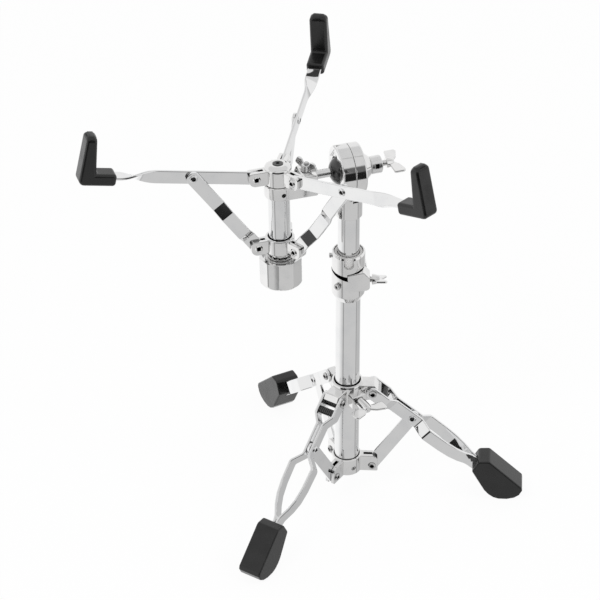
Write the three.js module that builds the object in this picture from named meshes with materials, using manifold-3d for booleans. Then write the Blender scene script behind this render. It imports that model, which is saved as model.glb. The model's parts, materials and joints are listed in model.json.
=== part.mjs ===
// A folding snare drum stand: a telescoping column on a double-braced tripod, with a ball tilter
// that carries a three-armed basket. Millimetres, +Z up, modelled as it stands with the basket open.
import * as THREE from "three";
import { mergeVertices } from "three/addons/utils/BufferGeometryUtils.js";
import Module from "manifold-3d";

const wasm = await Module();
wasm.setup();

// Round sections
const ROUND_SIDES = 24;
const SMALL_SIDES = 12;
const PIN_SIDES = 8;

// Clearance between pieces that slide, turn or rest on each other
const FIT = 0.3;

// Column
const LOWER_TUBE_R = 12.7;
const LOWER_TUBE_BORE = 11.45;
const LOWER_TUBE_BOTTOM = 26.5;
const LOWER_TUBE_TOP = 275;
const UPPER_TUBE_R = 11.1;
const UPPER_TUBE_BORE = 9.7;
const UPPER_TUBE_BOTTOM = 80;
const UPPER_TUBE_TOP = 368;

// Tripod, each leg drawn in the plane through the column axis: r outwards, z up, t sideways
const LEG_AZIMUTHS = [-3.1, 116.9, -123.1];
const LEG_SIDES = ["right", "back", "left"];
const STRAP_HEIGHT = 14;
const STRAP_THICK = 2.8;
const CROWN_PIVOT = [26.5, 131];
const LEG_RIVET = [67.4, 95.6];
const COLLAR_PIVOT = [26.5, 33];
const PIN_R = 2.5;
const PIN_HOLE_R = 2.8;
const PIN_HEAD_R = 4.1;
const CROWN_LUG_HALF = 8.2;
const CROWN_BOTTOM = 116;
const CROWN_TOP = 142;
const CROWN_R = 16.5;
const CROWN_BOSS_AZIMUTH = -57;
const CROWN_BOSS_R = 23;
const CROWN_BOSS_HALF_WIDTH = 8.5;
const CROWN_BOLT_Z = 127;
const COLLAR_R = 15.3;
const COLLAR_TOP = 46;
const FOOT_HALF_WIDTH = 12.8;
const FOOT_BEVEL = 2.4;

// Height clamp
const CLAMP_R = 17;
const CLAMP_BOTTOM = 248;
const CLAMP_TOP = 304;
const SOCKET_TOP = 279.75;
const SOCKET_TILT = 15;
const RING_BOTTOM = 283.5;
const RING_TILT = 7;
const CLAMP_GAP_AZIMUTH = -45;
const CLAMP_BOLT_X = 15;
const CLAMP_BOLT_Y = -9.5;
const CLAMP_BOLT_Z = 274.8;
const BUSHING_R = 14.6;
const BUSHING_BOTTOM = 275.6;

// Ball tilter
const ROD_AZIMUTH = 197;
const TILTER_Z = 402;
const TILTER_R = 26;
const TILTER_FRONT = 13.5;
const TILTER_REAR = 11.5;
const TILTER_SEAM = 0.45;
const BALL_R = 16.2;
const BALL_OFFSET = 5;
const BALL_OPENING_R = 15;
const CUP_BACK = -14.6;
const NECK_R = 13.6;
const NECK_BOTTOM = 348;
const NECK_TOP = 369;
const SLEEVE_START = 20.7;
const SLEEVE_END = 32.4;
const SLEEVE_R = 9;

// Basket, drawn with x from the ball along the rod and z along the basket's own axis
const REST_ROLL = 4.4;
const ROD_R = 4.5;
const ROD_END = 46;
const HUB_X = 68;
const HUB_PIVOT_Z = 8;
const HUB_PIVOT_R = 23.4;
const HUB_R = 13;
const CASTING_R = 14.5;
const CASTING_BOTTOM = -16.3;
const CASTING_TOP = -1.4;
const CASTING_END = 31;
const CASTING_HALF_WIDTH = 13;
const CLAMP_NUT_X = 39;
const HUB_TOP = 15;
const CENTRE_TUBE_R = 11;
const CENTRE_TUBE_BOTTOM = -110;
const SLIDER_PIVOT_Z = -70.3;
const SLIDER_TOP = -61.7;
const SLIDER_BOTTOM = -85;
const NUT_R = 22;
const NUT_RIM = -84.4;
const NUT_FLOOR = -87.6;
const NUT_BOTTOM = -115.4;
const NUT_FLUTES = 10;
const EAR_INNER = 1.75;
const EAR_OUTER = 5.2;
const EAR_R = 7.5;
const ARM_AZIMUTHS = [0, 120, -120];
const ARM_SIDES = ["left", "right", "far"];
const ARM_SLOPE = 11.72;
const ARM_RIVET = 64.2;
const STRUT_LENGTH = 111.1;
const STRUT_LEAN = 34.68;
const STRUT_BESIDE = 3.1;
const STRUT_BUMP = 8.2;
const ARM_TWIST_START = 100;
const ARM_TWIST_END = 140;
const ARM_END = 172;
const HOOK_START = 143.3;
const HOOK_WIDTH = 18;
const HOOK_TOP = 45.8;

const chrome = new THREE.MeshStandardMaterial({ color: 0xd9dcde, roughness: 0.12, metalness: 1 });
const castChrome = new THREE.MeshStandardMaterial({ color: 0xcfd2d4, roughness: 0.2, metalness: 1 });
const steel = new THREE.MeshStandardMaterial({ color: 0xb9bcbe, roughness: 0.3, metalness: 1 });
const rubber = new THREE.MeshStandardMaterial({ color: 0x26272a, roughness: 0.6, metalness: 0 });
const blackPlastic = new THREE.MeshStandardMaterial({ color: 0x2b2c30, roughness: 0.35, metalness: 0 });
const nylon = new THREE.MeshStandardMaterial({ color: 0x3a3b3e, roughness: 0.5, metalness: 0 });
const paleNylon = new THREE.MeshStandardMaterial({ color: 0xdedcd6, roughness: 0.5, metalness: 0 });

const radians = THREE.MathUtils.degToRad;

// A closed mesh as a solid that can be joined and cut
function toSolid(geometry) {
  const loose = geometry.index ? geometry.toNonIndexed() : geometry;
  const bare = new THREE.BufferGeometry();
  bare.setAttribute("position", loose.getAttribute("position").clone());
  const merged = mergeVertices(bare, 1e-4);
  const index = merged.index.array;
  const kept = [];
  for (let i = 0; i < index.length; i += 3) {
    const [a, b, c] = [index[i], index[i + 1], index[i + 2]];
    if (a !== b && b !== c && c !== a) kept.push(a, b, c);
  }
  return new wasm.Manifold(
    new wasm.Mesh({
      numProp: 3,
      vertProperties: merged.attributes.position.array,
      triVerts: new Uint32Array(kept),
    }),
  );
}

function toGeometry(solid) {
  const { vertProperties, triVerts } = solid.getMesh();
  const geometry = new THREE.BufferGeometry();
  geometry.setAttribute("position", new THREE.BufferAttribute(vertProperties, 3));
  geometry.setIndex(new THREE.BufferAttribute(triVerts, 1));
  return geometry;
}

function join(...pieces) {
  return toGeometry(pieces.map(toSolid).reduce((a, b) => a.add(b)));
}

function cut(body, ...tools) {
  return toGeometry(tools.map(toSolid).reduce((a, b) => a.subtract(b), toSolid(body)));
}

function common(a, b) {
  return toGeometry(toSolid(a).intersect(toSolid(b)));
}

// A solid of revolution about Z from [radius, height] points, anticlockwise when it is a closed ring
function revolve(profile, sides = ROUND_SIDES) {
  const points = profile.map(([r, z]) => new THREE.Vector2(r, z));
  return new THREE.LatheGeometry(points, sides).rotateX(Math.PI / 2);
}

function rod(radius, from, to, sides = ROUND_SIDES) {
  return revolve([[0, from], [radius, from], [radius, to], [0, to]], sides);
}

// A rod with chamfered ends
function chamferedRod(radius, from, to, chamfer, sides = ROUND_SIDES) {
  return revolve(
    [
      [0, from],
      [radius - chamfer, from],
      [radius, from + chamfer],
      [radius, to - chamfer],
      [radius - chamfer, to],
      [0, to],
    ],
    sides,
  );
}

function pipe(outer, inner, from, to, sides = ROUND_SIDES) {
  return revolve([[inner, from], [outer, from], [outer, to], [inner, to], [inner, from]], sides);
}

function box(x0, x1, y0, y1, z0, z1) {
  const size = new THREE.BoxGeometry(x1 - x0, y1 - y0, z1 - z0);
  return size.translate((x0 + x1) / 2, (y0 + y1) / 2, (z0 + z1) / 2);
}

// An outline whose corners [x, y, radius] are rounded by arcs of a few steps
function rounded(corners, steps = 2) {
  const outline = [];
  corners.forEach(([x, y, radius = 0], i) => {
    const corner = new THREE.Vector2(x, y);
    if (!radius) {
      outline.push([x, y]);
      return;
    }
    const [px, py] = corners.at(i - 1);
    const [nx, ny] = corners[(i + 1) % corners.length];
    const back = new THREE.Vector2(px - x, py - y).normalize();
    const ahead = new THREE.Vector2(nx - x, ny - y).normalize();
    const half = Math.acos(THREE.MathUtils.clamp(back.dot(ahead), -1, 1)) / 2;
    const centre = back.clone().add(ahead).normalize().multiplyScalar(radius / Math.sin(half)).add(corner);
    const start = back.multiplyScalar(radius / Math.tan(half)).add(corner).sub(centre);
    const end = ahead.multiplyScalar(radius / Math.tan(half)).add(corner).sub(centre);
    const sweep = Math.atan2(start.cross(end), start.dot(end));
    for (let k = 0; k <= steps; k += 1) {
      const turned = start.clone().rotateAround(new THREE.Vector2(), (sweep * k) / steps).add(centre);
      outline.push([turned.x, turned.y]);
    }
  });
  return outline;
}

// A plate of the given outline, centred on its own thickness along Z
function plate(outline, thickness, bevel = 0) {
  const shape = new THREE.Shape(outline.map(([x, y]) => new THREE.Vector2(x, y)));
  const geometry = new THREE.ExtrudeGeometry(shape, {
    depth: thickness - 2 * bevel,
    bevelEnabled: bevel > 0,
    bevelThickness: bevel,
    bevelSize: bevel,
    bevelOffset: -bevel,
    bevelSegments: 1,
  });
  return geometry.translate(0, 0, bevel - thickness / 2);
}

// Turns what is drawn in the XY plane so that the drawing lies in XZ and its thickness along Y
function upright(geometry) {
  return geometry.rotateX(Math.PI / 2);
}

// Turns what is drawn in the XY plane so that the drawing lies in YZ and its thickness along X
function facingX(geometry) {
  return geometry.applyMatrix4(
    new THREE.Matrix4().makeBasis(
      new THREE.Vector3(0, 1, 0),
      new THREE.Vector3(0, 0, 1),
      new THREE.Vector3(1, 0, 0),
    ),
  );
}

function alongX(geometry) {
  return geometry.rotateY(Math.PI / 2);
}

function alongY(geometry) {
  return geometry.rotateX(-Math.PI / 2);
}

// The plan outline of a bent strip that follows a path and keeps its thickness
function ribbon(path, thickness) {
  const sides = [[], []];
  path.forEach(([x, y], i) => {
    const before = path[Math.max(i - 1, 0)];
    const after = path[Math.min(i + 1, path.length - 1)];
    const into = new THREE.Vector2(x - before[0], y - before[1]).normalize();
    const out = new THREE.Vector2(after[0] - x, after[1] - y).normalize();
    const tangent = into.clone().add(out).normalize();
    const widen = thickness / 2 / Math.max(tangent.dot(i ? into : out), 0.5);
    sides[0].push([x - tangent.y * widen, y + tangent.x * widen]);
    sides[1].unshift([x + tangent.y * widen, y - tangent.x * widen]);
  });
  return [...sides[0], ...sides[1]];
}

// A flat bar standing on edge along X, with round ends about its two pivots
function bar(length, height, from, to) {
  const end = height / 2 - 0.01;
  return rounded([
    [from, -height / 2, end],
    [length + to, -height / 2, end],
    [length + to, height / 2, end],
    [from, height / 2, end],
  ]);
}

function pinHole(x, z, radius = PIN_HOLE_R) {
  return alongY(rod(radius, -30, 30, PIN_SIDES)).translate(x, 0, z);
}

// A pin along Y with a domed head at each end
function headedPin(halfGrip, x, z) {
  const head = 1.6;
  const outer = halfGrip + head;
  return alongY(
    revolve(
      [
        [0, -outer],
        [3, -outer],
        [PIN_HEAD_R, -halfGrip],
        [PIN_R, -halfGrip],
        [PIN_R, halfGrip],
        [PIN_HEAD_R, halfGrip],
        [3, outer],
        [0, outer],
      ],
      PIN_SIDES,
    ),
  ).translate(x, 0, z);
}

// A rivet head on one face of a strap, pointing along +Y or -Y
function rivetHead(x, y, z, side) {
  const profile = [[0, -0.4], [PIN_HEAD_R, -0.4], [PIN_HEAD_R, 0.2], [2.8, 1.5], [0, 1.5]];
  const head = alongY(revolve(profile, PIN_SIDES));
  if (side < 0) head.rotateX(Math.PI);
  return head.translate(x, y, z);
}

// A wing screw along X: its shank ends at 0, its hub starts at shankLength, and two wings end it
function wingScrew(shankRadius, shankLength, span = 38, hubLength = 8) {
  const shank = rod(shankRadius, 0, shankLength + 2, PIN_SIDES);
  const hub = revolve(
    [
      [0, shankLength],
      [5.6, shankLength],
      [5.2, shankLength + hubLength - 5],
      [3.8, shankLength + hubLength],
      [0, shankLength + hubLength],
    ],
    PIN_SIDES,
  );
  const tip = span / 2;
  const root = shankLength + hubLength - 8;
  const wing = rounded(
    [
      [root + 0.6, 0],
      [root + 2.4, 5],
      [root + 3.4, tip, 2],
      [root + 16.5, tip, 3],
      [root + 12.6, 7, 3],
      [root + 7, 0],
    ],
    2,
  );
  const wings = [1, -1].map((side) => plate(wing.map(([x, y]) => [x, y * side]), 2.6));
  return join(alongX(shank), alongX(hub), ...wings);
}

const stand = new THREE.Group();

function addMesh(parent, name, geometry, material) {
  const shape = toGeometry(toSolid(geometry));
  shape.computeVertexNormals();
  const mesh = new THREE.Mesh(shape, material);
  mesh.name = name;
  parent.add(mesh);
  return mesh;
}

function addTurnedGroup(parent, azimuth) {
  const group = new THREE.Group();
  group.rotation.z = radians(azimuth);
  parent.add(group);
  return group;
}

// Column tubes and the plug that closes the lower end
function addColumn() {
  const lower = pipe(LOWER_TUBE_R, LOWER_TUBE_BORE, LOWER_TUBE_BOTTOM, LOWER_TUBE_TOP);
  addMesh(stand, "lower_tube", lower, chrome);
  const plug = join(
    rod(LOWER_TUBE_BORE - FIT, LOWER_TUBE_BOTTOM - 0.5, LOWER_TUBE_BOTTOM + 7),
    rod(LOWER_TUBE_R, LOWER_TUBE_BOTTOM - 2, LOWER_TUBE_BOTTOM - FIT),
  );
  addMesh(stand, "tube_end_plug", plug, blackPlastic);
  const upper = pipe(UPPER_TUBE_R, UPPER_TUBE_BORE, UPPER_TUBE_BOTTOM, UPPER_TUBE_TOP);
  addMesh(stand, "upper_tube", upper, chrome);
}

// Fixed collar at the foot of the column, with two ears beside each brace
function addLowerCollar() {
  const [pivotR, pivotZ] = COLLAR_PIVOT;
  const ring = pipe(COLLAR_R, LOWER_TUBE_R - 1, LOWER_TUBE_BOTTOM, COLLAR_TOP);
  const ear = rounded([
    [10, LOWER_TUBE_BOTTOM],
    [pivotR + 6, LOWER_TUBE_BOTTOM, 1],
    [pivotR + 6, COLLAR_TOP - 0.5, 6],
    [10, COLLAR_TOP - 0.5],
  ]);
  const earPairs = LEG_AZIMUTHS.map((azimuth) => {
    const block = upright(plate(ear, 2 * EAR_OUTER));
    const slot = box(17.5, 40, -EAR_INNER, EAR_INNER, 20, 60);
    return cut(block, slot, pinHole(pivotR, pivotZ)).rotateZ(radians(azimuth));
  });
  const bore = rod(LOWER_TUBE_R + FIT, 0, 100);
  const screwHole = alongX(rod(2.4, 0, 30, PIN_SIDES)).translate(0, 0, 35).rotateZ(radians(-62));
  addMesh(stand, "lower_collar", cut(join(ring, ...earPairs), bore, screwHole), castChrome);
  const screw = alongX(chamferedRod(2.2, LOWER_TUBE_R + FIT, COLLAR_R - 0.4, 0.4, PIN_SIDES));
  addMesh(stand, "collar_set_screw", screw.translate(0, 0, 35).rotateZ(radians(-62)), steel);
}

// Sliding crown that the legs hang from, with the boss of its wing screw
function addLegCrown() {
  const [pivotR, pivotZ] = CROWN_PIVOT;
  const sleeve = revolve([
    [LOWER_TUBE_R - 1, CROWN_BOTTOM],
    [CROWN_R - 1.5, CROWN_BOTTOM],
    [CROWN_R, CROWN_BOTTOM + 1.5],
    [CROWN_R, CROWN_TOP - 2],
    [CROWN_R - 2, CROWN_TOP],
    [LOWER_TUBE_R - 1, CROWN_TOP],
    [LOWER_TUBE_R - 1, CROWN_BOTTOM],
  ]);
  const lug = rounded([
    [12, CROWN_BOTTOM + 3],
    [pivotR - 2, CROWN_BOTTOM + 6, 3],
    [pivotR + 6, pivotZ - 6, 5],
    [pivotR + 6, pivotZ + 3, 2],
    [pivotR + 2, CROWN_TOP - 2.5, 2],
    [12, CROWN_TOP - 2.5],
  ]);
  const lugs = LEG_AZIMUTHS.map((azimuth) => {
    const block = upright(plate(lug, 2 * CROWN_LUG_HALF));
    return cut(block, pinHole(pivotR, pivotZ, PIN_R + 0.2)).rotateZ(radians(azimuth));
  });
  const bossFace = rounded([
    [-CROWN_BOSS_HALF_WIDTH, CROWN_BOLT_Z - 7.5, 2],
    [CROWN_BOSS_HALF_WIDTH, CROWN_BOLT_Z - 7.5, 2],
    [CROWN_BOSS_HALF_WIDTH, CROWN_BOLT_Z + 7.5, 2],
    [-CROWN_BOSS_HALF_WIDTH, CROWN_BOLT_Z + 7.5, 2],
  ]);
  const boss = facingX(plate(bossFace, CROWN_BOSS_R - 12)).translate((CROWN_BOSS_R + 12) / 2, 0, 0);
  boss.rotateZ(radians(CROWN_BOSS_AZIMUTH));
  const bore = rod(LOWER_TUBE_R + FIT, 100, 160);
  const threadHole = alongX(rod(3.5, 0, 40, SMALL_SIDES)).translate(0, 0, CROWN_BOLT_Z);
  threadHole.rotateZ(radians(CROWN_BOSS_AZIMUTH));
  addMesh(stand, "leg_crown", cut(join(sleeve, ...lugs, boss), bore, threadHole), castChrome);

  const screwGroup = addTurnedGroup(stand, CROWN_BOSS_AZIMUTH);
  const start = LOWER_TUBE_R + FIT;
  const screw = wingScrew(3.2, CROWN_BOSS_R + 0.5 - start, 38, 16).rotateX(radians(-1));
  addMesh(screwGroup, "crown_wing_screw", screw.translate(start, 0, CROWN_BOLT_Z), castChrome);
}

// Places what is drawn along a leg, x down the leg and z square to it, in the leg's upright plane
function alongLeg(geometry) {
  const slope = Math.atan2(CROWN_PIVOT[1] - LEG_RIVET[1], LEG_RIVET[0] - CROWN_PIVOT[0]);
  return geometry.rotateY(slope).translate(CROWN_PIVOT[0], 0, CROWN_PIVOT[1]);
}

// One of the two bent straps of a leg, wide at the crown, close at the brace and bowed before the foot
function legStrap(side) {
  const wide = CROWN_LUG_HALF + FIT + STRAP_THICK / 2;
  const close = EAR_INNER + STRAP_THICK / 2;
  const together = 0.3 + STRAP_THICK / 2;
  const path = [
    [-7, wide],
    [18, wide],
    [28, close],
    [63, close],
    [74, 13.2],
    [96, 12.6],
    [110, 10.9],
    [121, 7.6],
    [132, 2.6],
    [137, together],
    [162, together],
  ];
  const sideways = path.map(([s, t]) => [s, t * side]);
  const strip = plate(ribbon(sideways, STRAP_THICK), STRAP_HEIGHT);
  const profile = rounded([
    [-7, -7, 6.9],
    [162, -7],
    [162, 7],
    [-7, 7, 6.9],
  ]);
  const rivetAt = Math.hypot(LEG_RIVET[0] - CROWN_PIVOT[0], LEG_RIVET[1] - CROWN_PIVOT[1]);
  const shaped = common(strip, upright(plate(profile, 60)));
  const head = rivetHead(rivetAt, side * (close + STRAP_THICK / 2), 0, side);
  return join(cut(shaped, pinHole(0, 0)), head);
}

// Moulded foot with a rocker sole that ends in a small flat, drawn in r and z
function foot() {
  const profile = [
    [130.5, 35.5],
    [137.5, 48],
    [148.5, 48.6],
    [183, 15.4],
    [183.6, 11.5],
    [180.5, 5.6],
    [175.5, 2],
    [169, 0.3],
    [168, 0],
    [159, 0],
    [153.5, 1.8],
    [148.5, 5.4],
    [144, 10.6],
  ];
  const body = upright(plate(profile, 2 * FOOT_HALF_WIDTH, FOOT_BEVEL));
  const pocketHalf = 0.3 + STRAP_THICK + FIT;
  const pocket = alongLeg(box(100, 163, -pocketHalf, pocketHalf, -7 - FIT, 7 + FIT));
  return cut(body, pocket);
}

function addLeg(index) {
  const name = LEG_SIDES[index];
  const group = addTurnedGroup(stand, LEG_AZIMUTHS[index]);
  [1, -1].forEach((side) => {
    const hand = side > 0 ? "a" : "b";
    addMesh(group, `leg_${name}_strap_${hand}`, alongLeg(legStrap(side)), chrome);
  });
  const spacer = alongY(chamferedRod(3.8, -CROWN_LUG_HALF, CROWN_LUG_HALF, 0.4, SMALL_SIDES));
  addMesh(group, `leg_${name}_spacer`, alongLeg(spacer.translate(13.4, 0, 2.6)), steel);
  addMesh(group, `foot_${name}`, foot(), rubber);

  const crownGrip = CROWN_LUG_HALF + FIT + STRAP_THICK + 0.2;
  addMesh(group, `crown_pin_${name}`, headedPin(crownGrip, ...CROWN_PIVOT), steel);

  const [collarR, collarZ] = COLLAR_PIVOT;
  const rise = LEG_RIVET[1] - collarZ;
  const run = LEG_RIVET[0] - collarR;
  const length = Math.hypot(run, rise);
  const flat = upright(plate(bar(length, STRAP_HEIGHT, -7, 7), STRAP_THICK));
  const brace = cut(flat, pinHole(0, 0), pinHole(length, 0));
  brace.rotateY(-Math.atan2(rise, run)).translate(collarR, 0, collarZ);
  addMesh(group, `brace_${name}`, brace, chrome);
  addMesh(group, `collar_pin_${name}`, headedPin(EAR_OUTER + 0.2, collarR, collarZ), steel);
}

// Split height clamp: the socket on the lower tube, the ring above the slanting gap, and the bushing
function addHeightClamp() {
  const outside = revolve([
    [0, CLAMP_BOTTOM],
    [LOWER_TUBE_R + 0.9, CLAMP_BOTTOM],
    [CLAMP_R, CLAMP_BOTTOM + 7],
    [CLAMP_R, CLAMP_TOP - 3],
    [CLAMP_R - 1.2, CLAMP_TOP],
    [0, CLAMP_TOP],
  ]);
  const lugFace = rounded([
    [-1, CLAMP_BOLT_Z - 10.4],
    [13, CLAMP_BOLT_Z - 10.4, 3],
    [21.5, CLAMP_BOLT_Z - 8.4, 4],
    [21.5, CLAMP_BOLT_Z + 6, 3],
    [15.5, CLAMP_BOLT_Z + 13, 3],
    [-1, CLAMP_BOLT_Z + 9],
  ]);
  const lug = upright(plate(lugFace, 14.8, 0.8)).translate(0, -9.5, 0);
  const lugRoom = upright(plate(lugFace.map(([x, z]) => [x - FIT, z + 1.2]), 15.8)).translate(0, -9.5, 0);
  const tubeBore = rod(LOWER_TUBE_R + FIT, 200, LOWER_TUBE_TOP + 0.3);
  const bushingBore = rod(BUSHING_R + FIT, LOWER_TUBE_TOP + 0.2, CLAMP_TOP + 5);
  const boltHole = alongX(rod(3.5, 8, 30, SMALL_SIDES)).translate(0, CLAMP_BOLT_Y, CLAMP_BOLT_Z);
  const slab = (z0, z1, tilt, height) =>
    box(-60, 60, -60, 60, z0, z1)
      .rotateY(radians(tilt))
      .rotateZ(radians(CLAMP_GAP_AZIMUTH))
      .translate(0, 0, height);
  const slot = rounded([
    [-5, CLAMP_TOP - 12.5, 4.6],
    [5, CLAMP_TOP - 12.5, 4.6],
    [5, CLAMP_TOP + 5],
    [-5, CLAMP_TOP + 5],
  ]);
  const notch = upright(plate(slot, 12)).translate(0, -CLAMP_R, 0).rotateZ(radians(1));

  const lower = cut(outside, slab(0, 90, SOCKET_TILT, SOCKET_TOP));
  const socket = cut(join(lower, lug), tubeBore, bushingBore, boltHole);
  addMesh(stand, "clamp_socket", socket, castChrome);
  const tabFace = [[8, CLAMP_TOP - 5], [14.8, CLAMP_TOP - 5], [20.2, RING_BOTTOM - 9], [8, RING_BOTTOM - 9]];
  const tab = upright(plate(tabFace, 8)).translate(0, 3.2, 0);
  const belowRing = slab(-90, 0, RING_TILT, RING_BOTTOM);
  const ring = cut(join(outside, tab), belowRing, lugRoom, bushingBore, notch);
  addMesh(stand, "clamp_ring", ring, castChrome);

  const bushing = pipe(BUSHING_R, UPPER_TUBE_R + FIT, BUSHING_BOTTOM, CLAMP_TOP - 1);
  addMesh(stand, "tube_bushing", bushing, paleNylon);

  const endScrew = alongX(chamferedRod(3.6, 0, 2.4, 0.6, SMALL_SIDES));
  endScrew.translate(CLAMP_R + 0.2, 0, CLAMP_BOLT_Z - 6);
  addMesh(stand, "clamp_end_screw", endScrew.rotateZ(radians(-128)), steel);
  const stopScrew = alongX(chamferedRod(2.6, 0, 2.2, 0.5, PIN_SIDES)).translate(CLAMP_R + 0.2, 0, 298);
  addMesh(stand, "bushing_screw", stopScrew.rotateZ(radians(182)), steel);

  const screw = wingScrew(3.2, 8.5, 34).rotateX(radians(-25));
  screw.translate(CLAMP_BOLT_X, CLAMP_BOLT_Y, CLAMP_BOLT_Z);
  addMesh(stand, "clamp_wing_screw", screw, castChrome);
}

// Round housing of the ball tilter in two halves, drawn with x from the column towards the basket
function addTilter() {
  const group = addTurnedGroup(stand, ROD_AZIMUTH);
  const shift = (geometry) => geometry.translate(0, 0, TILTER_Z);
  const outline = [];
  const steps = 18;
  const from = radians(-57);
  const to = radians(237);
  for (let i = 0; i <= steps; i += 1) {
    const angle = from + ((to - from) * i) / steps;
    outline.push([TILTER_R * Math.cos(angle), TILTER_R * Math.sin(angle)]);
  }
  outline.push([-12.5, NECK_TOP - TILTER_Z]);
  outline.push([12.5, NECK_TOP - TILTER_Z]);
  const housing = facingX(plate(outline, TILTER_FRONT + TILTER_REAR, 2));
  housing.translate((TILTER_FRONT - TILTER_REAR) / 2, 0, 0);
  const ball = new THREE.SphereGeometry(BALL_R + 0.5, 20, 12).translate(BALL_OFFSET, 0, 0);
  const cupBore = alongX(rod(11.6, -30, BALL_OFFSET, SMALL_SIDES));
  const opening = alongX(rod(BALL_OPENING_R, BALL_OFFSET, 30));
  const notches = [1, -1].map((side) => alongX(rod(2.6, BALL_OFFSET, 30, 8)).translate(0, 0, side * 15.4));
  const frontHalf = box(TILTER_SEAM, 40, -50, 50, -80, 50);
  const rearHalf = box(-40, -TILTER_SEAM, -50, 50, -80, 50);
  const neck = chamferedRod(NECK_R, NECK_BOTTOM - TILTER_Z, NECK_TOP - TILTER_Z + 4, 1.2);
  const tubeBore = rod(UPPER_TUBE_R + FIT, NECK_BOTTOM - TILTER_Z - 5, UPPER_TUBE_TOP - TILTER_Z + FIT);

  const front = cut(common(housing, frontHalf), ball, opening, ...notches);
  const behindSeam = box(-30, TILTER_SEAM, -50, 50, NECK_TOP - TILTER_Z - 0.1, 50);
  const body = cut(join(front, neck), tubeBore, behindSeam);
  addMesh(group, "tilter_body", shift(body), castChrome);

  const boss = alongX(
    revolve([[0, -20.2], [SLEEVE_R + 0.8, -20.2], [18, -TILTER_REAR + 0.6], [18, -6], [0, -6]]),
  );
  const screwBore = alongX(rod(3.6, -40, 0, SMALL_SIDES));
  const rear = join(common(housing, rearHalf), boss);
  const cupChamber = common(cupBore, box(CUP_BACK - FIT, 20, -30, 30, -30, 30));
  const belowSeam = box(-40, 10, -50, 50, -80, NECK_TOP - TILTER_Z + 0.3);
  const cover = cut(rear, ball, cupChamber, screwBore, belowSeam);
  addMesh(group, "tilter_cover", shift(cover), castChrome);

  const window = box(-29, -25.6, 4, 20, -1.8, 1.8);
  const sleeve = cut(alongX(chamferedRod(SLEEVE_R, -SLEEVE_END, -SLEEVE_START, 1)), screwBore, window);
  addMesh(group, "tilter_sleeve", shift(sleeve), castChrome);

  const cupFace = new THREE.SphereGeometry(BALL_R + 0.5, 20, 12).translate(BALL_OFFSET, 0, 0);
  const cup = cut(alongX(rod(11.2, CUP_BACK, -7.2, SMALL_SIDES)), cupFace);
  addMesh(group, "tilter_cup", shift(cup), nylon);
  const screwLength = SLEEVE_END + 5 + CUP_BACK;
  const screw = wingScrew(3.2, screwLength).rotateZ(Math.PI).translate(CUP_BACK - FIT, 0, 0);
  addMesh(group, "tilter_wing_screw", shift(screw), castChrome);
}

// The basket leans with the ball, so all that moves with the ball is in one leaning group
const basket = new THREE.Group();
const basketTurn = addTurnedGroup(stand, ROD_AZIMUTH);
basketTurn.add(basket);
basket.position.set(BALL_OFFSET, 0, TILTER_Z);
basket.rotation.x = radians(REST_ROLL);

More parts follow.
